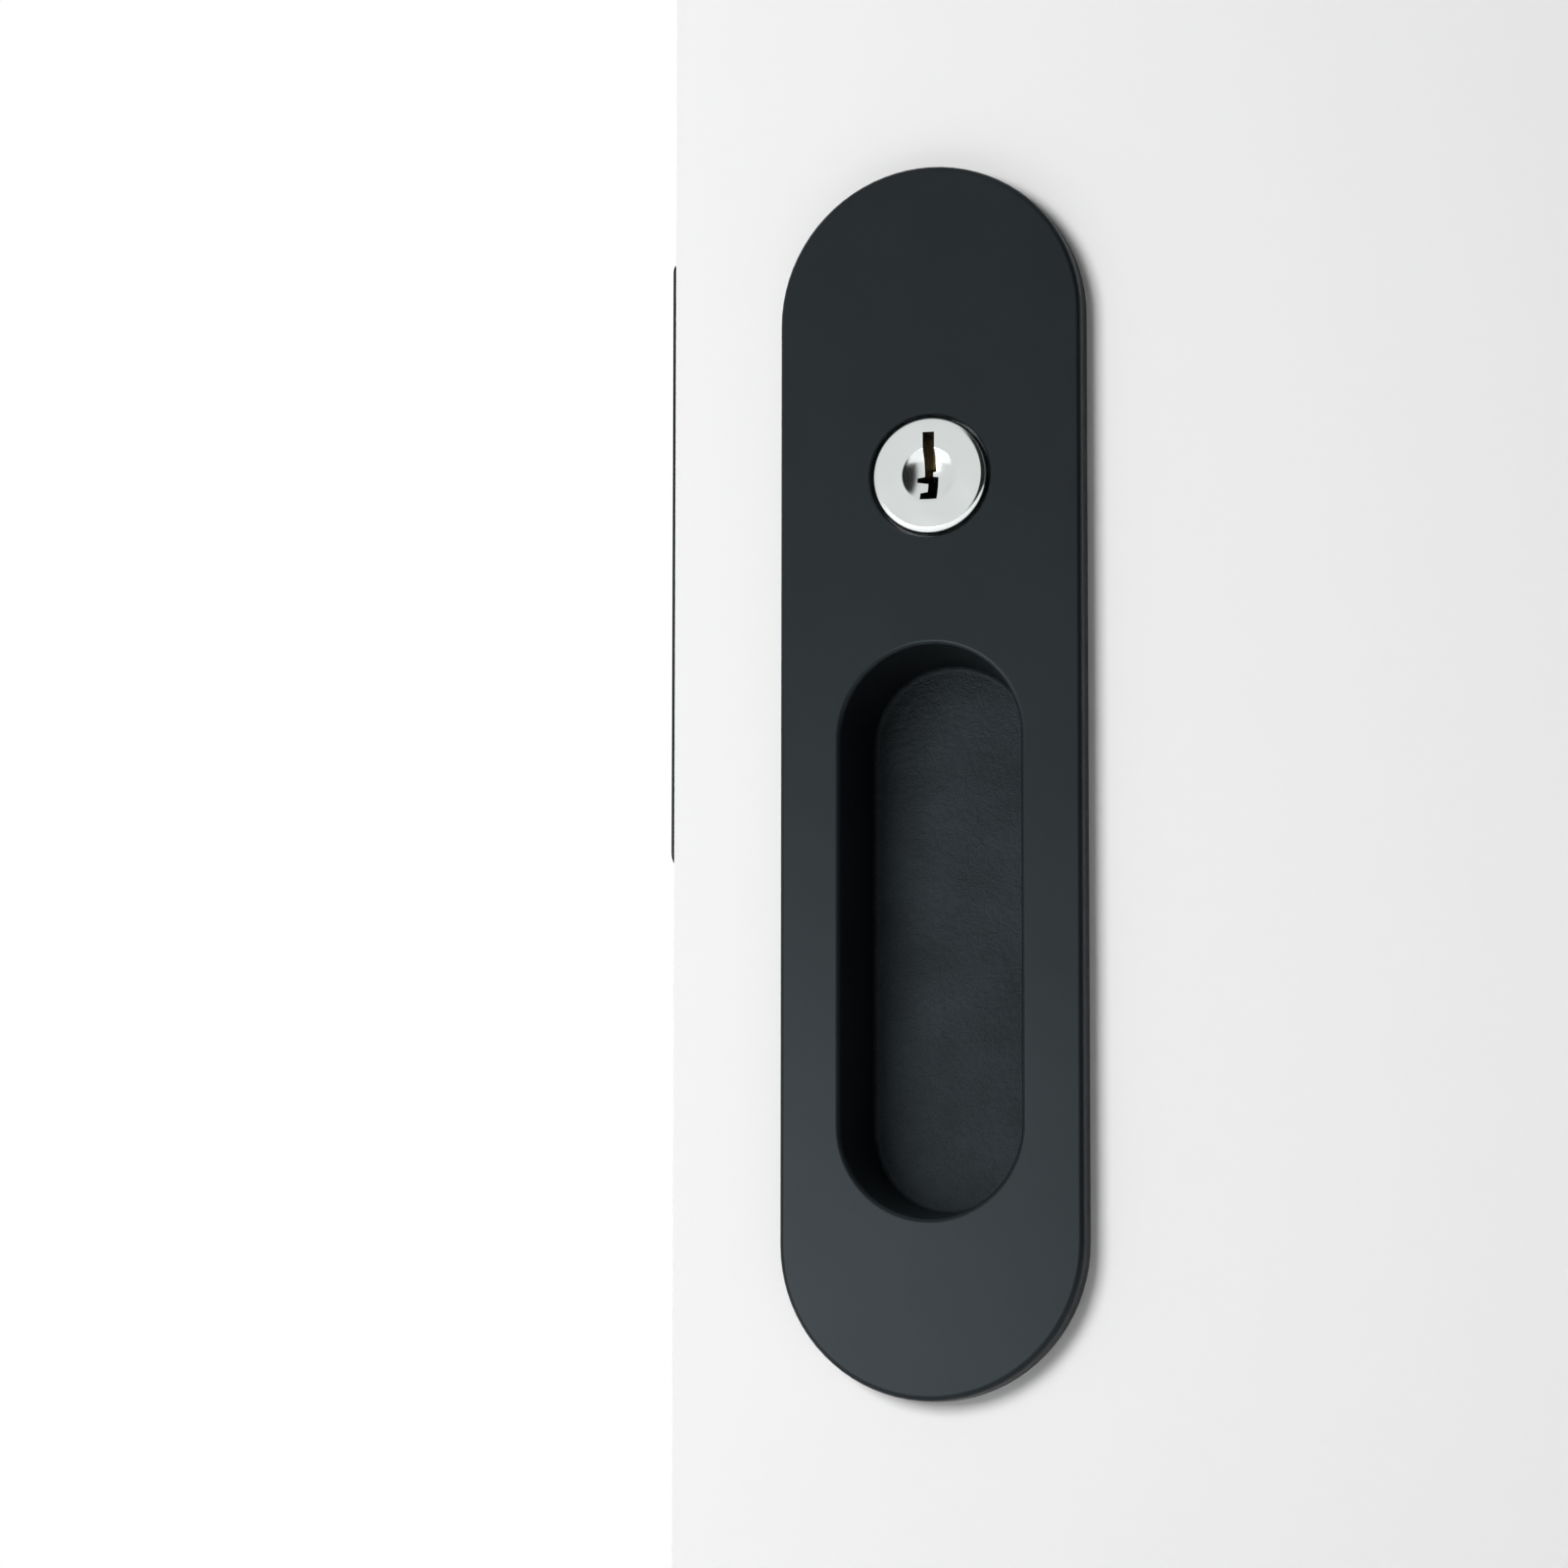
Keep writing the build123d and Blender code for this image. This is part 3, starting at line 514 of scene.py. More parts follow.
def stadium(width: float, length: float, y: float, z: float, steps: int = 40) -> list[Point]:
    """Points round an upright stadium on the key's axis.

    Args:
        width: its width along X.
        length: its length along Z.
        y: its place along Y.
        z: the height of its middle.
        steps: the number of steps in each half circle.

    Returns:
        The points, in millimetres.
    """
    radius, reach = width / 2, (length - width) / 2
    turns = [(math.pi * (n / steps + half), z + lift)
             for half, lift in enumerate((reach, -reach)) for n in range(steps + 1)]
    return [(BACKSET + radius * math.cos(a), y, middle + radius * math.sin(a)) for a, middle in turns]


def circle(radius: float, y: float, x: float = BACKSET, z: float = KEY_Z, steps: int = 64) -> list[Point]:
    """Points round a circle whose axis runs along Y, in millimetres."""
    turn = 2 * math.pi / steps
    return [(x + radius * math.cos(n * turn), y, z + radius * math.sin(n * turn)) for n in range(steps)]


def quarter(steps: int = 6) -> list[Pair]:
    """Sine and one minus cosine over a quarter turn, for a rounded edge."""
    angles = [math.pi / 2 * n / steps for n in range(steps + 1)]
    return [(math.sin(a), 1 - math.cos(a)) for a in angles]


def post(radius: float, start: float, end: float, bore: float, bore_depth: float, edge: float) -> list[Pair]:
    """The half section of a post with a blind hole, as radius and depth from its foot to the hole's floor."""
    return [(radius, start), (radius, end - edge), (radius - edge, end), (bore + edge, end), (bore, end - edge),
            (bore, end - bore_depth)]


@dataclass
class FlushPlate:
    """A cast stadium plate with its hollow back, finger pull, bosses and posts."""

    side: Side
    width: float = 44.5
    length: float = 177.0
    thickness: float = 4.0
    middle: float = -33.4
    edge: float = 0.8
    foot: float = 0.15  # the chamfer on the door
    rim: float = 3.0
    relief: float = 1.4
    hole_edge: float = 0.2
    pull_width: float = 26.6
    pull_length: float = 81.8
    pull_depth: float = 13.8
    pull_draft: float = 1.4
    pull_middle: float = -55.3
    pull_lip: float = 0.7
    pull_wall: float = 1.2
    floor_edge: float = 0.8
    post_radius: float = 4.0
    post_edge: float = 0.3
    post_length: float = 26.0
    thread_radius: float = 2.0
    thread_depth: float = 25.0
    sleeve_length: float = 12.0
    sleeve_bore: float = 2.1
    sink_radius: float = 4.2
    ear_radius: float = 3.75
    ear_root: float = 0.6
    ear_height: float = 5.5
    ear_edge: float = 0.2
    ear_bore: float = 1.5
    ear_depth: float = 6.3
    skin: Skin = field(default_factory=Skin)

    @property
    def ceiling(self) -> float:
        """The depth of the hollow's flat ground behind the face."""
        return self.thickness - self.relief

    def at(self, depth: float) -> float:
        """The Y of a place that is depth millimetres behind the plate's face."""
        return self.side.value * (DOOR_HALF + self.thickness - depth)

    def turned(self, section: Sequence[Pair], steps: int, x: float = BACKSET, z: float = KEY_Z) -> Outlines:
        """Circles through a section of radius and depth."""
        return [circle(radius, self.at(depth), x, z, steps) for radius, depth in section]

    def outline(self, inset: float, depth: float) -> list[Point]:
        """The plate's own outline, drawn in by inset."""
        return stadium(self.width - 2 * inset, self.length - 2 * inset, self.at(depth), self.middle)

    def pull_outline(self, grow: float, depth: float) -> list[Point]:
        """The outline of the pull's wall at a depth, wider by grow on each side."""
        spare = 2 * (grow - self.pull_draft * depth / self.pull_depth)
        return stadium(self.pull_width + spare, self.pull_length + spare, self.at(depth), self.pull_middle)

    def pull(self) -> Ring:
        """Builds the finger pull.

        Returns:
            The ring at its mouth.
        """
        lip = self.skin.wall(self.pull_outline(self.pull_lip * (1 - s), self.pull_lip * c) for s, c in quarter(8))
        foot = [self.skin.ring(self.pull_outline(-self.floor_edge * c, self.pull_depth - self.floor_edge * (1 - s)))
                for s, c in quarter()]
        self.skin.bridge([lip[-1], foot[0]])
        self.skin.bridge(foot, POCKET)
        self.skin.cap(foot[-1], POCKET)
        return lip[0]

    def cup(self) -> Ring:
        """Builds the back of the pull.

        Returns:
            The ring where it leaves the hollow.
        """
        wall, back = self.pull_wall, self.pull_depth + self.pull_wall
        sizes = [(wall, self.ceiling), (wall, back - wall),
                 *[(wall * (1 - c), back - wall * (1 - s)) for s, c in quarter(4)[1:]]]
        rings = self.skin.wall(self.pull_outline(grow, depth) for grow, depth in sizes)
        self.skin.cap(rings[-1])
        return rings[0]

    def key_opening(self) -> tuple[Ring, Ring]:
        """Builds the hole for the key head or knob neck.

        Returns:
            The ring on the face and the ring in the hollow.
        """
        hole, boss = (8.9, 12.5) if self.side is Side.OUTSIDE else (6.0, 11.0)
        section = ((hole + self.hole_edge, 0.0), (hole, self.hole_edge), (hole, self.thickness),
                   (boss, self.thickness), (boss, self.ceiling))
        rings = self.skin.wall(self.turned(section, 96))
        return rings[0], rings[-1]

    def bolt_post(self, z: float) -> tuple[Ring, Ring | None]:
        """Builds a threaded post outside, or a countersunk sleeve inside.

        Args:
            z: the post's height.

        Returns:
            The ring in the hollow and, on the inside plate, the ring on the face.
        """
        radius, edge = self.post_radius, self.post_edge
        if self.side is Side.OUTSIDE:
            end = self.thickness + self.post_length
            section = post(radius, self.ceiling, end, self.thread_radius, self.thread_depth, edge)
            rings = self.skin.wall(self.turned(section, 48, z=z))
            self.skin.cap(rings[-1])
            return rings[0], None
        end, bore = self.thickness + self.sleeve_length, self.sleeve_bore
        section = ((radius, self.ceiling), (radius, end - edge), (radius - edge, end), (bore, end),
                   (bore, self.sink_radius - bore), (self.sink_radius, 0.0))
        rings = self.skin.wall(self.turned(section, 48, z=z))
        return rings[0], rings[-1]

    def ear_boss(self, x: float) -> Piece:
        """Builds the boss that one of the cylinder's ears is screwed to.

        Args:
            x: its place along X.

        Returns:
            The boss.
        """
        section = post(self.ear_radius, self.ceiling - self.ear_root, self.thickness + self.ear_height,
                       self.ear_bore, self.ear_depth, self.ear_edge)
        return solid("ear_boss", self.turned(section, 40, x), BLACK_COAT.make())

    def dress(self) -> None:
        """Builds the plate as one closed mesh and puts it in place of the CAD plate."""
        outside = self.skin.wall([
            self.outline(self.rim, self.ceiling), self.outline(self.rim, self.thickness),
            self.outline(self.foot, self.thickness), self.outline(0.0, self.thickness - self.foot),
            *[self.outline(self.edge * c, self.edge * (1 - s)) for s, c in quarter()]])
        mouth, cup = self.pull(), self.cup()
        face_hole, boss = self.key_opening()
        posts = [self.bolt_post(z) for z in BOLT_HEIGHTS]
        self.skin.sheet([outside[-1], mouth, face_hole, *[face for _, face in posts if face]])
        self.skin.sheet([outside[0], cup, boss, *[foot for foot, _ in posts]])
        name = f"{self.side.name.lower()}_plate_casting"
        plate = self.skin.finish(name, BLACK_COAT.make(), POCKET_COAT.make())
        if self.side is Side.OUTSIDE:
            for x in (BACKSET - EAR_REACH, BACKSET + EAR_REACH):
                cut(plate, self.ear_boss(x), join=True)
        keep_flat(plate)
        node = "outer_plate" if self.side is Side.OUTSIDE else "inner_plate"
        seat(plate, "lock_body", BLACK_COAT.slot, (node,))


@dataclass
class MachinedPart:
    """A CAD node copied, cleaned into flat faces and given rounded edges."""

    body: str
    node: str
    finish: Finish
    rounding: float

    def dress(self) -> None:
        """Builds the copy and puts it in place of its node."""
        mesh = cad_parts[self.node].data.copy()
        bm = bmesh.new()
        bm.from_mesh(mesh)
        bmesh.ops.remove_doubles(bm, verts=bm.verts, dist=2e-7)
        bmesh.ops.dissolve_degenerate(bm, edges=bm.edges, dist=1e-7)
        bmesh.ops.dissolve_limit(bm, angle_limit=math.radians(0.6), verts=bm.verts, edges=bm.edges)
        bm.to_mesh(mesh)
        bm.free()
        mesh.materials.clear()
        mesh.materials.append(self.finish.make())
        if normals := mesh.attributes.get("custom_normal"):
            mesh.attributes.remove(normals)
        piece = placed(f"{self.node}_finished", smooth(mesh))
        soften(piece, self.rounding)
        seat(piece, self.body, self.finish.slot, (self.node,))


def machine(parts: Parts) -> None:
    """Dresses machined parts in turn."""
    for part in parts:
        MachinedPart(*part).dress()


class Recipe(NodeTree):
    """A Geometry Nodes tree with named inputs, which sets a shape on points."""

    family = "GeometryNode"

    def __init__(self, name: str) -> None:
        """Starts a tree that takes points and gives a mesh.

        Args:
            name: the tree's name.
        """
        super().__init__(bpy.data.node_groups.new(name, "GeometryNodeTree"))
        self.tree.interface.new_socket("Mesh", in_out="OUTPUT", socket_type="NodeSocketGeometry")
        self.input = self.tree.nodes.new("NodeGroupInput")
        self.need("Points", "Geometry")

    def need(self, name: str, kind: str = "Float") -> Socket:
        """Adds a named input and returns its socket inside the tree."""
        self.tree.interface.new_socket(name, in_out="INPUT", socket_type="NodeSocket" + kind)
        return self.input.outputs[name]

    def moved(self, geometry: Socket, height: Value) -> Socket:
        """Lifts a shape along Z."""
        lift = self.add("ShaderNodeCombineXYZ", {"Z": height})
        return self.add("Transform", {"Geometry": geometry, "Translation": lift})

    def coil(self, radius: Value, wire: Value, height: Value, turns: Value, sides: int) -> Socket:
        """Sweeps a small ring along a rising coil.

        Args:
            radius: the coil's radius to the middle of the wire.
            wire: the wire's radius.
            height: how far the coil rises.
            turns: its number of turns.
            sides: the number of sides of the wire.

        Returns:
            The mesh socket.
        """
        spiral = self.add("CurveSpiral", {
            "Resolution": 28, "Rotations": turns, "Start Radius": radius, "End Radius": radius, "Height": height})
        ring = self.add("CurvePrimitiveCircle", {"Resolution": sides, "Radius": wire})
        return self.add("CurveToMesh", {"Curve": spiral, "Profile Curve": ring, "Fill Caps": True})

    def close(self, shape: Socket) -> None:
        """Sets the shape on every point, turned and finished as the inputs say, and ends the tree.

        Args:
            shape: the mesh to repeat.
        """
        turn, finish = self.need("Turn", "Rotation"), self.need("Finish", "Material")
        spin = self.add("FunctionNodeRandomValue", {"Min": -3.0, "Max": 3.0, "Seed": 7}, 1, data_type="FLOAT")
        roll = self.add("ShaderNodeCombineXYZ", {"Z": spin})
        turned = self.add("FunctionNodeRotateRotation", {0: turn, 1: roll}, rotation_space="LOCAL")
        copies = self.add("InstanceOnPoints", {
            "Points": self.input.outputs["Points"], "Instance": shape, "Rotation": turned})
        real = self.add("RealizeInstances", {0: copies})
        dressed = self.add("SetMaterial", {"Geometry": real, "Material": finish})
        self.tree.links.new(dressed, self.tree.nodes.new("NodeGroupOutput").inputs[0])

    def run(self, name: str, places: Sequence[Point], values: dict[str, object]) -> Piece:
        """Runs the tree once and keeps the result as a plain mesh.

        Args:
            name: the new object's name.
            places: the points, in millimetres.
            values: the inputs, by name.

        Returns:
            The object, at the origin.
        """
        points = bpy.data.meshes.new(name + "_points")
        points.from_pydata([Vector(place) * MM for place in places], [], [])
        carrier = placed(name + "_carrier", points)
        modifier = carrier.modifiers.new("recipe", "NODES")
        modifier.node_group = self.tree
        for item in self.tree.interface.items_tree:
            if item.name in values:
                modifier[item.identifier] = values[item.name]
        mesh = baked(carrier)
        mesh.name = name
        bpy.data.objects.remove(carrier)
        return placed(name, smooth(mesh))


@cache
def screw_recipe() -> Recipe:
    """Builds the tree for a screw with a head, a drive and a rolled thread.

    Returns:
        The tree.
    """
    recipe = Recipe("rolled_screw")
    add, sum_of, need = recipe.add, recipe.math, recipe.need
    head_low, head_high, head_height, head_base = (
        need(n) for n in ("Head Low Radius", "Head High Radius", "Head Height", "Head Base"))
    core, crest, length, pitch = (need(n) for n in ("Core Radius", "Thread Radius", "Length", "Pitch"))
    width, depth, slotted = need("Drive Width"), need("Drive Depth"), need("Slotted", "Bool")
    cone = add("MeshCone", {
        "Vertices": 48, "Radius Top": head_high, "Radius Bottom": head_low, "Depth": head_height})
    twice = sum_of("MULTIPLY", depth, 2.0)
    six = add("MeshCylinder", {
        "Vertices": 6, "Depth": twice, "Radius": sum_of("MULTIPLY", width, HEXAGON_CORNER)})
    size = add("ShaderNodeCombineXYZ", {"X": sum_of("MULTIPLY", head_low, 2.4), "Y": width, "Z": twice})
    blade = add("MeshCube", {"Size": size})
    tool = add("Switch", {"Switch": slotted, "False": six, "True": blade}, input_type="GEOMETRY")
    top = sum_of("ADD", head_base, head_height)
    head = add("MeshBoolean", {0: recipe.moved(cone, head_base), 1: recipe.moved(tool, top)},
               operation="DIFFERENCE", solver="EXACT")
    rod = add("MeshCylinder", {"Vertices": 32, "Radius": core, "Depth": length})
    shank = recipe.moved(rod, sum_of("MULTIPLY", length, -0.5))
    rise = sum_of("SUBTRACT", length, sum_of("MULTIPLY", pitch, 5.0))
    thread = recipe.coil(core, sum_of("SUBTRACT", crest, core), rise, sum_of("DIVIDE", rise, pitch), 4)
    start = sum_of("SUBTRACT", sum_of("MULTIPLY", pitch, 0.6), length)
    joined = add("JoinGeometry")
    for part in (recipe.moved(thread, start), shank, head):
        recipe.tree.links.new(part, joined.node.inputs[0])
    recipe.close(joined)
    return recipe


@dataclass
class ScrewSet:
    """Equal screws that stand in one direction."""

    name: str
    nodes: Sequence[str]
    places: Sequence[Point]
    facing: Facing
    drive: Drive
    finish: Finish
    head_radius: float
    head_height: float
    shank_radius: float
    length: float
    drive_width: float
    pitch: float = 0.7

    def dress(self) -> None:
        """Makes the screws and puts them in place of their nodes."""
        sunk = self.drive is Drive.HEXAGON
        core = self.shank_radius - 0.28
        sizes = {
            "Head Low Radius": core if sunk else self.head_radius,
            "Head High Radius": self.head_radius if sunk else 0.86 * self.head_radius,
            "Head Height": self.head_height,
            "Head Base": -self.head_height if sunk else 0.0,
            "Core Radius": core,
            "Thread Radius": self.shank_radius,
            "Length": self.length,
            "Pitch": self.pitch,
            "Drive Width": self.drive_width,
            "Drive Depth": (0.8 if sunk else 0.5) * self.head_height,
        }
        piece = screw_recipe().run(self.name, self.places, {
            **{key: value * MM for key, value in sizes.items()},
            "Slotted": self.drive.value, "Turn": self.facing.value, "Finish": self.finish.make()})
        soften(piece, 0.08)
        seat(piece, "lock_body", self.finish.slot, self.nodes)


@dataclass
class KeyCylinder:
    """The barrel with its plug, wafers, springs, clip and tail bar."""

    wafers: int = 5
    first_wafer: float = -18.2
    pitch: float = 1.75
    wafer_half: float = 0.525  # half the thickness of a wafer's slot
    spring_radius: float = 0.45
    spring_wire: float = 0.11
    spring_height: float = 3.9
    spring_turns: float = 9.0
    spring_x: float = 3.5
    spring_foot: float = 6.4
    face: float = -24.6
    head_back: float = -20.1
    head_edge: float = 0.15
    plug_radius: float = 6.95
    plug_back: float = -8.2
    plug_edge: float = 0.2
    clip_groove: Pair = (-9.55, -8.75)
    clip_radius: float = 5.6
    dimple_radius: float = 3.9
    dimple_depth: float = 1.4
    dimple_steps: int = 14
    head: Sequence[Pair] = (  # radius and depth behind the face, from the dimple's rim to the side
        (3.86, 0.06), (4.0, 0.0), (7.6, 0.0), (7.72, 0.03), (7.95, 0.14), (8.18, 0.32), (8.36, 0.55), (8.46, 0.8),
        (8.5, 1.05))
    key_slot: Sequence[Pair] = (
        (-0.85, 6.2), (-0.85, -0.1), (-1.9, -0.3), (-1.9, -0.95), (-0.35, -1.15), (-0.35, -2.35), (-1.35, -2.55),
        (-1.35, -3.5), (1.15, -3.5), (1.15, -0.2), (0.35, -0.1), (0.35, 0.5), (0.85, 0.6), (0.85, 6.2))

    parts: Parts = (
        ("lock_body", "cylinder_barrel", CAST_ZINC, 0.2),
        ("key_cylinder", "plug_clip", SPRING, 0.08),
        ("key_cylinder", "tail_bar", SCREW_ZINC, 0.12),
    )

    def stations(self) -> list[Pair]:
        """The side and the Y of each wafer."""
        return [(1 - 2 * (n % 2), self.first_wafer + n * self.pitch) for n in range(self.wafers)]

    def section(self) -> list[Pair]:
        """Gives the plug's half section, from the dimple's middle to the back.

        Returns:
            Pairs of radius and Y.
        """
        wide, deep, stem, back = self.dimple_radius, self.dimple_depth, self.plug_radius, self.plug_back
        ball = (wide ** 2 + deep ** 2) / (2 * deep)
        radii = [wide * n / self.dimple_steps for n in range(1, self.dimple_steps)]
        head, (low, high) = self.head[-1][0], self.clip_groove
        return [*[(r, self.face + deep - ball + math.sqrt(ball ** 2 - r ** 2)) for r in radii],
                *[(r, self.face + depth) for r, depth in self.head],
                (head, self.head_back - self.head_edge), (head - self.head_edge, self.head_back),
                (stem, self.head_back), (stem, low), (self.clip_radius, low), (self.clip_radius, high), (stem, high),
                (stem, back - self.plug_edge), (stem - self.plug_edge, back)]

    def plug(self) -> Piece:
        """Turns the plug and cuts its key slot, wafer slots and tail slot.

        Returns:
            The plug.
        """
        plug = solid("key_plug_turned", [circle(r, y, steps=144) for r, y in self.section()], SATIN_NICKEL.make())
        # The walls of every slot cut below take the near-black metal, as painted shade in the recesses.
        bore = PAINTED_SHADE_BORE.make()
        cut(plug, bar(self.key_slot, self.face - 1, self.first_wafer + self.wafers * self.pitch - 0.6, bore))
        for side, y in self.stations():
            for corners in (box(-0.9 * side, 0, 7.0, 15.0), box(self.spring_x * side, 0.8, 1.9, 8.8)):
                cut(plug, bar(corners, y - self.wafer_half, y + self.wafer_half, bore))
        cut(plug, bar(box(0, 0, 2.4, 7.5), self.plug_back - 1.6, self.plug_back + 1, bore))
        soften(plug, 0.07)
        return plug

    def dress(self) -> None:
        """Builds and dresses every piece of the cylinder."""
        seat(self.plug(), "key_cylinder", SATIN_NICKEL.slot, ("key_plug",))
        machine([*self.parts, *[("key_cylinder", f"wafer_{n + 1}", BRASS, 0.07) for n in range(self.wafers)]])
        self.springs()
        ScrewSet("barrel_screws_rolled", ("barrel_screw_left", "barrel_screw_right"),
                 [(BACKSET + x, -12.0, KEY_Z) for x in (-EAR_REACH, EAR_REACH)], Facing.INSIDE, Drive.SLOT, SCREW_ZINC,
                 head_radius=2.75, head_height=1.4, shank_radius=1.8, length=7.5, drive_width=0.7).dress()

    def springs(self) -> None:
        """Winds one spring beside each wafer."""
        recipe = Recipe("coil_spring")
        recipe.close(recipe.coil(*(recipe.need(n) for n in ("Coil Radius", "Wire Radius", "Height", "Turns")), 8))
        places = [(BACKSET + side * self.spring_x, y, self.spring_foot) for side, y in self.stations()]
        piece = recipe.run("wafer_springs_wound", places, {
            "Coil Radius": (self.spring_radius - self.spring_wire) * MM, "Wire Radius": self.spring_wire * MM,
            "Height": self.spring_height * MM, "Turns": self.spring_turns, "Turn": (0, 0, 0),
            "Finish": SPRING.make()})
        seat(piece, "key_cylinder", SPRING.slot, ("wafer_springs",))


@dataclass
class MortiseCase:
    """The sheet case with its forend, hub, hook bolt and springs."""

    pillars: Sequence[Pair] = ((7.2, 26.2), (7.2, -26.2), (56.0, 26.0), (56.0, -26.0))
    cover_y: float = 7.0
    screw_height: float = 21.5
    parts: Parts = (
        ("lock_body", "case_tray", SHEET_ZINC, 0.3),
        ("lock_body", "case_cover", SHEET_ZINC, 0.15),
        ("lock_body", "forend", BLACK_COAT, 0.2),
        ("turn_knob", "hub", SINTERED, 0.12),
        ("hook", "hook_bolt", HOOK_PLATE, 0.25),
        ("lock_body", "hook_pivot", SCREW_ZINC, 0.1),
        ("lock_body", "detent_spring", SPRING, 0.05),
        ("lock_body", "spring_post", SCREW_ZINC, 0.2),
    )

    def dress(self) -> None:
        """Builds and dresses every piece of the case."""
        machine(self.parts)
        ScrewSet("cover_screws_rolled", [f"cover_screw_{n}" for n in range(1, 5)],
                 [(x, self.cover_y, z) for x, z in self.pillars], Facing.INSIDE, Drive.SLOT, SCREW_ZINC,
                 head_radius=2.2, head_height=1.1, shank_radius=1.2, length=8.0, drive_width=0.55, pitch=0.5).dress()
        ScrewSet("forend_screws_rolled", ("forend_screw_upper", "forend_screw_lower"),
                 [(0, 0, self.screw_height), (0, 0, -self.screw_height)], Facing.EDGE, Drive.HEXAGON, BLACK_OXIDE,
                 head_radius=4.0, head_height=2.05, shank_radius=1.95, length=6.6, drive_width=2.5).dress()


@dataclass
class ThumbTurn:
    """The cast knob with its spindle, grub screw, washer and clip."""

    neck_radius: float = 5.95
    neck_end: float = 17.3
    chamfer: float = 0.3
    groove_radius: float = 5.0
    groove: Pair = (18.4, 19.2)
    disc_radius: float = 11.0
    disc_back: float = 24.2
    disc_face: float = 26.7
    disc_edge: float = 1.0
    root: Sequence[Pair] = ((1.16, 0.0), (1.07, 0.12), (1.02, 0.4))  # the wing's growth and its lift off the disc
    root_margin: float = 2.2
    wing_low: Pair = (8.0, 21.6)
    wing_high: Pair = (5.6, 30.0)
    wing_top: float = 38.7
    waist: float = 0.5
    crown: float = 1.7
    squareness: float = 2.6
    sections: Sequence[float] = (0.12, 0.3, 0.5, 0.7, 0.85)
    socket: float = 5.1
    socket_end: float = 33.7
    grub_y: float = 30.7
    grub_radius: float = 1.5
    grub_reach: Pair = (1.5, 8.0)
    parts: Parts = (
        ("turn_knob", "knob_clip", SPRING, 0.08),
        ("turn_knob", "knob_washer", SCREW_ZINC, 0.08),
        ("turn_knob", "spindle", SCREW_ZINC, 0.2),
        ("turn_knob", "grub_screw", BLACK_OXIDE, 0.12),
    )

    def outline(self, width: float, length: float, y: float, power: float = 2.0) -> list[Point]:
        """Points round an upright oval.

        Args:
            width: its width along X.
            length: its length along Z.
            y: its place along Y.
            power: 2 for an ellipse, more for squarer ends.

        Returns:
            The points, in millimetres.
        """
        points = []
        for n in range(96):
            angle = 2 * math.pi * n / 96
            across, up = (half / 2 * math.copysign(abs(share) ** (2 / power), share)
                          for half, share in ((width, math.cos(angle)), (length, math.sin(angle))))
            points.append((BACKSET + across, y, KEY_Z + up))
        return points

    def stem(self) -> Outlines:
        """Gives the round part of the knob.

        Returns:
            Its outlines, from the neck's end to the disc's face.
        """
        neck, disc, (low, high) = self.neck_radius, self.disc_radius, self.groove
        section = [(neck - self.chamfer, self.neck_end), (neck, self.neck_end + self.chamfer), (neck, low),
                   (self.groove_radius, low), (self.groove_radius, high), (neck, high), (neck, self.disc_back),
                   (disc - self.chamfer, self.disc_back), (disc, self.disc_back + self.chamfer),
                   *[(disc - self.disc_edge * c, self.disc_face - self.disc_edge * (1 - s)) for s, c in quarter()]]
        return [self.outline(2 * radius, 2 * radius, y) for radius, y in section]

    def wing(self) -> Outlines:
        """Gives the part of the knob that fingers turn.

        Returns:
            Its outlines, from the disc's face to the crown.
        """
        (low_width, low_length), (high_width, high_length) = self.wing_low, self.wing_high
        ovals = [(low_width * share + 0.8 * (share - 1),
                  min(low_length * share, 2 * self.disc_radius - self.root_margin), self.disc_face + lift)
                 for share, lift in self.root]
        ovals += [(low_width + (high_width - low_width) * share - self.waist * math.sin(math.pi * share),
                   low_length + (high_length - low_length) * share,
                   self.disc_face + share * (self.wing_top - self.disc_face)) for share in self.sections]
        ovals += [(high_width - 1.5 * self.crown * c, high_length - 2 * self.crown * c,
                   self.wing_top - self.crown * (1 - s)) for s, c in quarter()]
        return [self.outline(*oval, self.squareness) for oval in ovals]

    def grub_hole(self) -> Outlines:
        """Circles along X that cut the grub screw's hole."""
        spots = circle(self.grub_radius, 0.0, 0.0, 0.0, 32)
        return [[(BACKSET - reach, self.grub_y + y, KEY_Z + z) for y, _, z in spots] for reach in self.grub_reach]

    def dress(self) -> None:
        """Builds and dresses every piece of the thumb-turn."""
        coat = BLACK_COAT.make()
        knob = solid("thumb_knob_cast", [*self.stem(), *self.wing()], coat)
        cut(knob, bar(box(0, 0, self.socket, self.socket), self.neck_end - 1, self.socket_end, coat))
        cut(knob, solid("grub_hole", self.grub_hole(), coat))
        soften(knob, 0.15)
        seat(knob, "turn_knob", BLACK_COAT.slot, ("thumb_knob",))
        machine(self.parts)


@dataclass(frozen=True)
class Lamp:
    """A soft square lamp: its direction in degrees, distance and side in metres, power in watts."""

    name: str
    azimuth: float
    elevation: float
    distance: float
    size: float
    power: float
    hidden_from: str


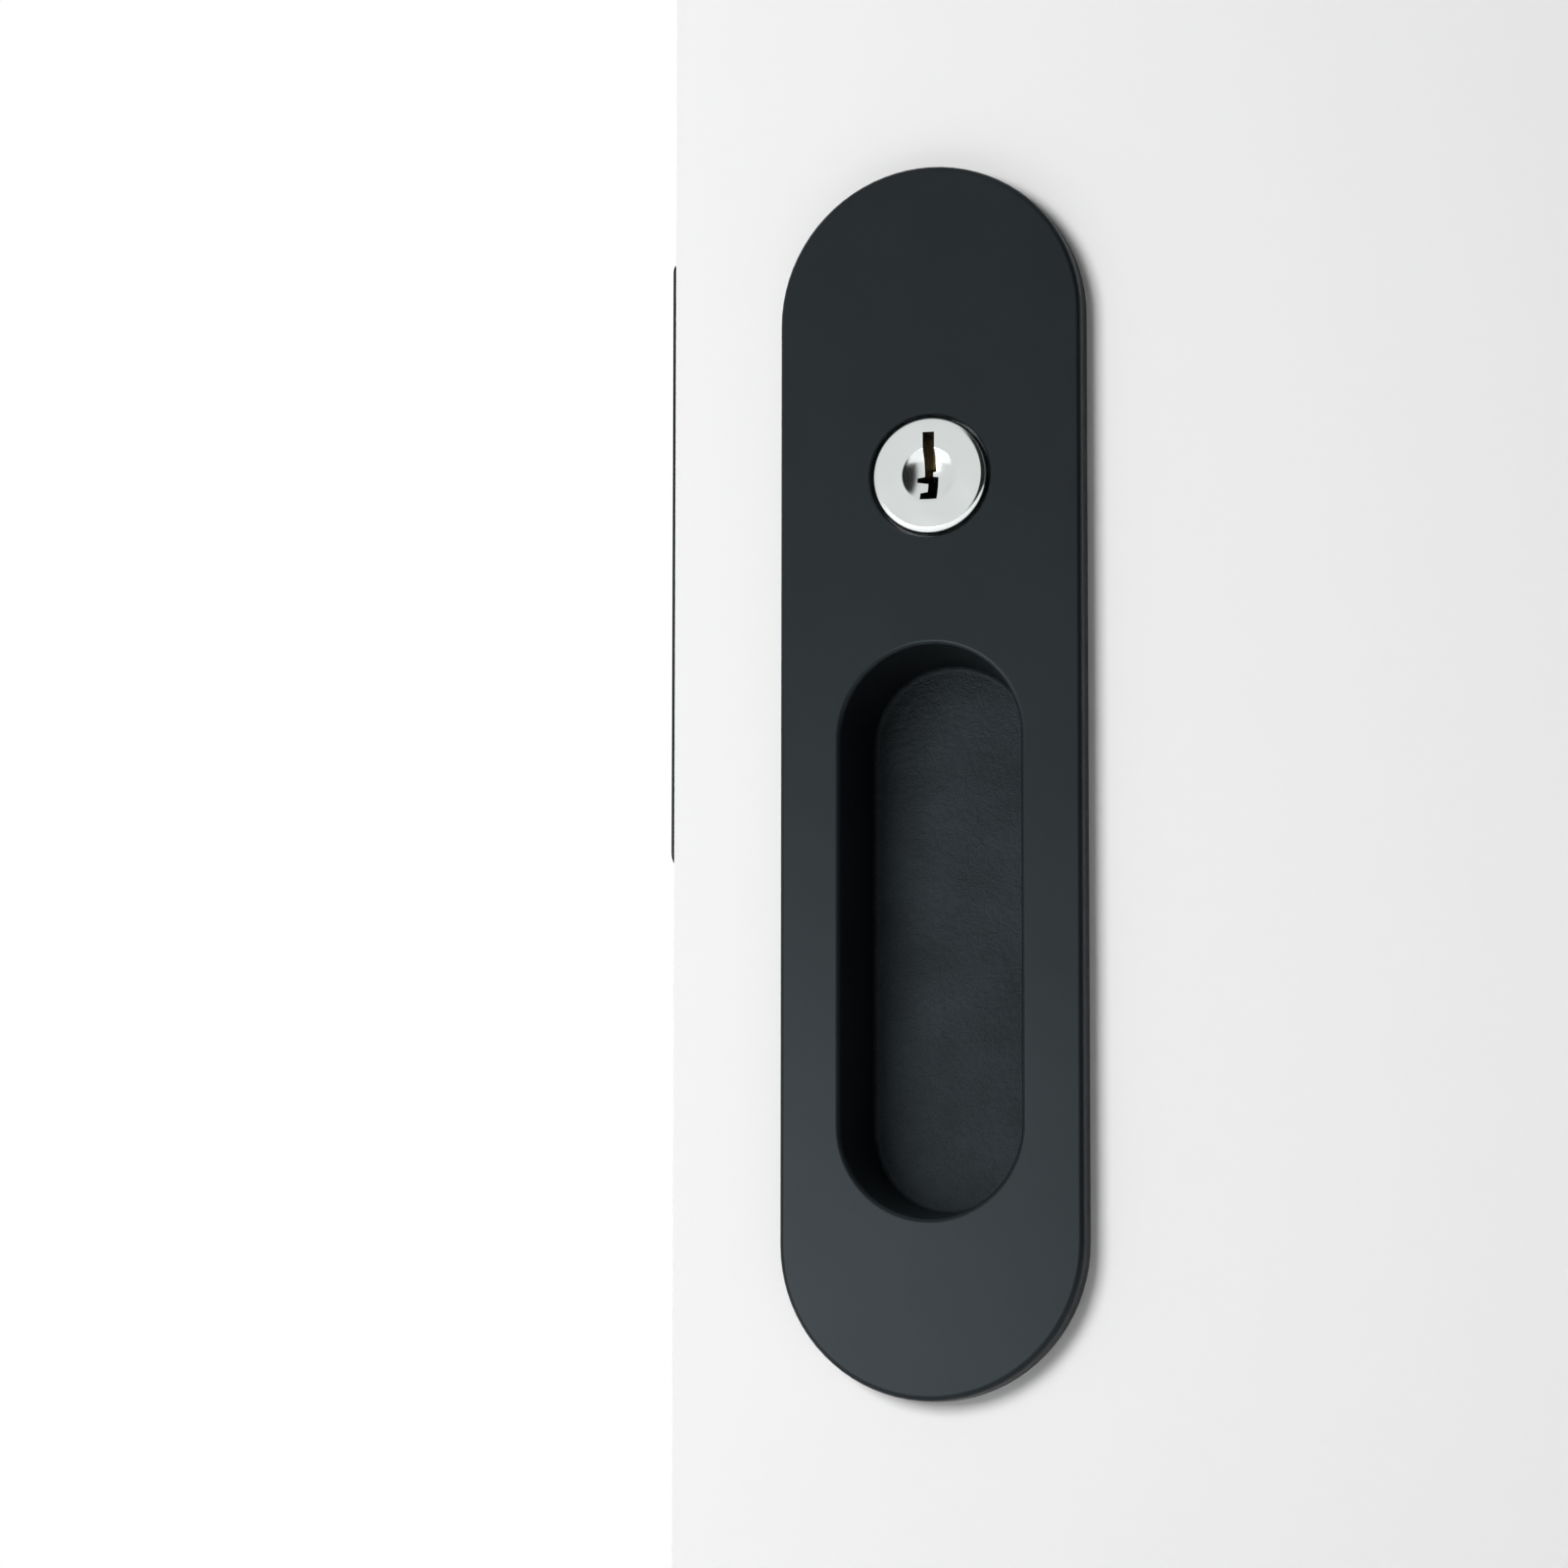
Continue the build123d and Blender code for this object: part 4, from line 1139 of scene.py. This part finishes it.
@dataclass
class Studio:
    """The floor, the backdrop, the light and the camera."""

    azimuth: float = 14.785
    elevation: float = -6.917
    distance: float = 900.0
    turn: float = 1.366
    tilt: float = -0.047
    roll: float = 0.08
    sensor: float = 36.0
    focal_pixels: float = 6443.5
    image_pixels: float = 1600.0
    aim: Point = (40.0, -22.0, -35.0)
    backdrop_edge: float = 0.75
    backdrop_width: float = 260.0
    backdrop_top: float = 140.0
    backdrop_y: float = -19.94
    opening: Pair = (40.0, 172.5)
    floor_z: float = -160.0
    floor_near: float = -320.0
    floor_far: float = 1500.0
    floor_glow: float = 0.5
    surround_left: float = 0.84
    surround_right: float = 0.02
    matt_share: float = 0.25
    lamps: Sequence[Lamp] = (
        Lamp("soft_lamp", -25, 14, 0.9, 0.42, 6.7, "visible_glossy"),
        Lamp("sheen_lamp", -25, -15, 0.5, 0.25, 1.6, "visible_diffuse"))

    def back(self, azimuth: float, elevation: float) -> Vector:
        """The direction from the object to a viewer or a lamp."""
        a, e = math.radians(azimuth), math.radians(elevation)
        return Vector((math.sin(a) * math.cos(e), -math.cos(a) * math.cos(e), math.sin(e)))

    def camera(self) -> None:
        """Sets the camera at the photograph's viewing angle."""
        data = bpy.data.cameras.new("camera")
        data.sensor_width = self.sensor
        data.lens = self.sensor * self.focal_pixels / self.image_pixels
        data.clip_start, data.clip_end = 0.05, 20.0
        camera = placed("camera", data)
        back = self.back(self.azimuth + self.turn, self.elevation + self.tilt)
        level = Vector((0, 0, 1)).cross(back).normalized()
        right = Matrix.Rotation(math.radians(self.roll), 3, back) @ level
        up = back.cross(right)
        place = (Vector(self.aim) + self.distance * self.back(self.azimuth, self.elevation)) * MM
        camera.matrix_world = Matrix.Translation(place) @ Matrix((right, up, back)).transposed().to_4x4()
        bpy.context.scene.camera = camera

    def light(self) -> None:
        """Hangs the lamps, which point at the plate."""
        for lamp in self.lamps:
            data = bpy.data.lights.new(lamp.name, "AREA")
            data.size, data.energy = lamp.size, lamp.power
            light = placed(lamp.name, data)
            back = self.back(lamp.azimuth, lamp.elevation)
            place = Matrix.Translation(Vector(self.aim) * MM + lamp.distance * back)
            light.matrix_world = place @ back.to_track_quat("Z", "Y").to_matrix().to_4x4()
            setattr(light, lamp.hidden_from, False)

    def world(self) -> None:
        """Makes a surround that is white behind the lock and dims to the front right.

        The camera sees it white. Metal and gloss see the same white behind the lock, and the studio's
        pale left and dark right in front of it. Matt surfaces get a share of that light.
        """
        world = bpy.data.worlds.new("surround")
        world.cycles.sampling_method = "NONE"
        bpy.context.scene.world = world
        tree = ShaderTree(world)
        direction = tree.add("TexCoord", take="Generated")
        parts = tree.add("SeparateXYZ", {0: direction}).node.outputs
        camera, mirrored = tree.rays()
        across = tree.spread(parts["X"], self.surround_left, self.surround_right, 0.25, 0.5, "SMOOTHSTEP")
        front = tree.math("MULTIPLY", across, tree.spread(mirrored, self.matt_share, 1.0, 0.0, 1.0))
        all_round = tree.spread(parts["Y"], front, 1.0, -0.1, 0.1, "SMOOTHSTEP")
        strength = tree.add("Mix", {0: camera, 2: all_round, 3: 1.0}, data_type="FLOAT")
        tree.end(tree.add("Background", {"Color": (1, 1, 1, 1), "Strength": strength}))

    def pale(self, name: str, color: Color, one_sided: bool, glow: float = 0.0) -> Material:
        """A plain pale surface.

        Args:
            name: the material's name.
            color: its colour.
            one_sided: whether it is clear from behind.
            glow: the light that the camera and mirrors see on top of its shading.

        Returns:
            The material.
        """
        tree = ShaderTree(bpy.data.materials.new(name))
        surface = tree.add("BsdfDiffuse", {"Color": (*color, 1)})
        if glow:
            seen = tree.math("MULTIPLY", tree.math("MAXIMUM", *tree.rays()), glow)
            light = tree.add("Emission", {"Strength": seen})
            surface = tree.add("AddShader", {0: surface, 1: light})
        if one_sided:
            behind = tree.add("NewGeometry", take="Backfacing")
            clear = tree.add("BsdfTransparent")
            surface = tree.add("MixShader", {0: behind, 1: surface, 2: clear})
        return tree.end(surface)

    def floor(self) -> None:
        """Lays the pale floor."""
        far, near, z = self.floor_far, self.floor_near, self.floor_z
        skin = Skin()
        skin.cap(skin.ring(((-far, near, z), (far, near, z), (far, far, z), (-far, far, z))))
        made = skin.finish("floor", self.pale("pale_floor", (0.8, 0.8, 0.8), False, self.floor_glow))

    def backdrop(self) -> None:
        """Sets up the pale sheet behind the outside plate, with an opening behind the plate."""
        left, right, y = self.backdrop_edge, self.backdrop_edge + self.backdrop_width, self.backdrop_y
        low, top = self.floor_z, self.backdrop_top
        skin = Skin()
        sheet = skin.ring(((left, y, low), (right, y, low), (right, y, top), (left, y, top)))
        skin.sheet([sheet, skin.ring(stadium(*self.opening, y, FlushPlate(Side.OUTSIDE).middle))])
        backdrop = skin.finish("backdrop", self.pale("pale_backdrop", (0.87, 0.87, 0.872), True))
        if backdrop.data.polygons[0].normal.y > 0:
            backdrop.data.flip_normals()
        backdrop.visible_shadow = False

    def build(self) -> None:
        """Builds the whole studio."""
        self.floor()
        self.backdrop()
        self.light()
        self.world()
        self.camera()
        bpy.context.scene.view_settings.view_transform = "Standard"


def main() -> None:
    """Builds every piece of the lock in order, then its studio."""
    logging.basicConfig(level=logging.INFO, format="%(name)s: %(message)s")
    for side in Side:
        FlushPlate(side).dress()
    KeyCylinder().dress()
    MortiseCase().dress()
    ThumbTurn().dress()
    ScrewSet("through_bolts_rolled", ("through_bolt_upper", "through_bolt_lower"),
             [(BACKSET, DOOR_HALF + 4.0, z) for z in BOLT_HEIGHTS], Facing.INSIDE, Drive.HEXAGON, BLACK_OXIDE,
             head_radius=4.0, head_height=2.05, shank_radius=1.95, length=34.0, drive_width=2.5).dress()
    Studio().build()


if __name__ == "__main__":
    main()
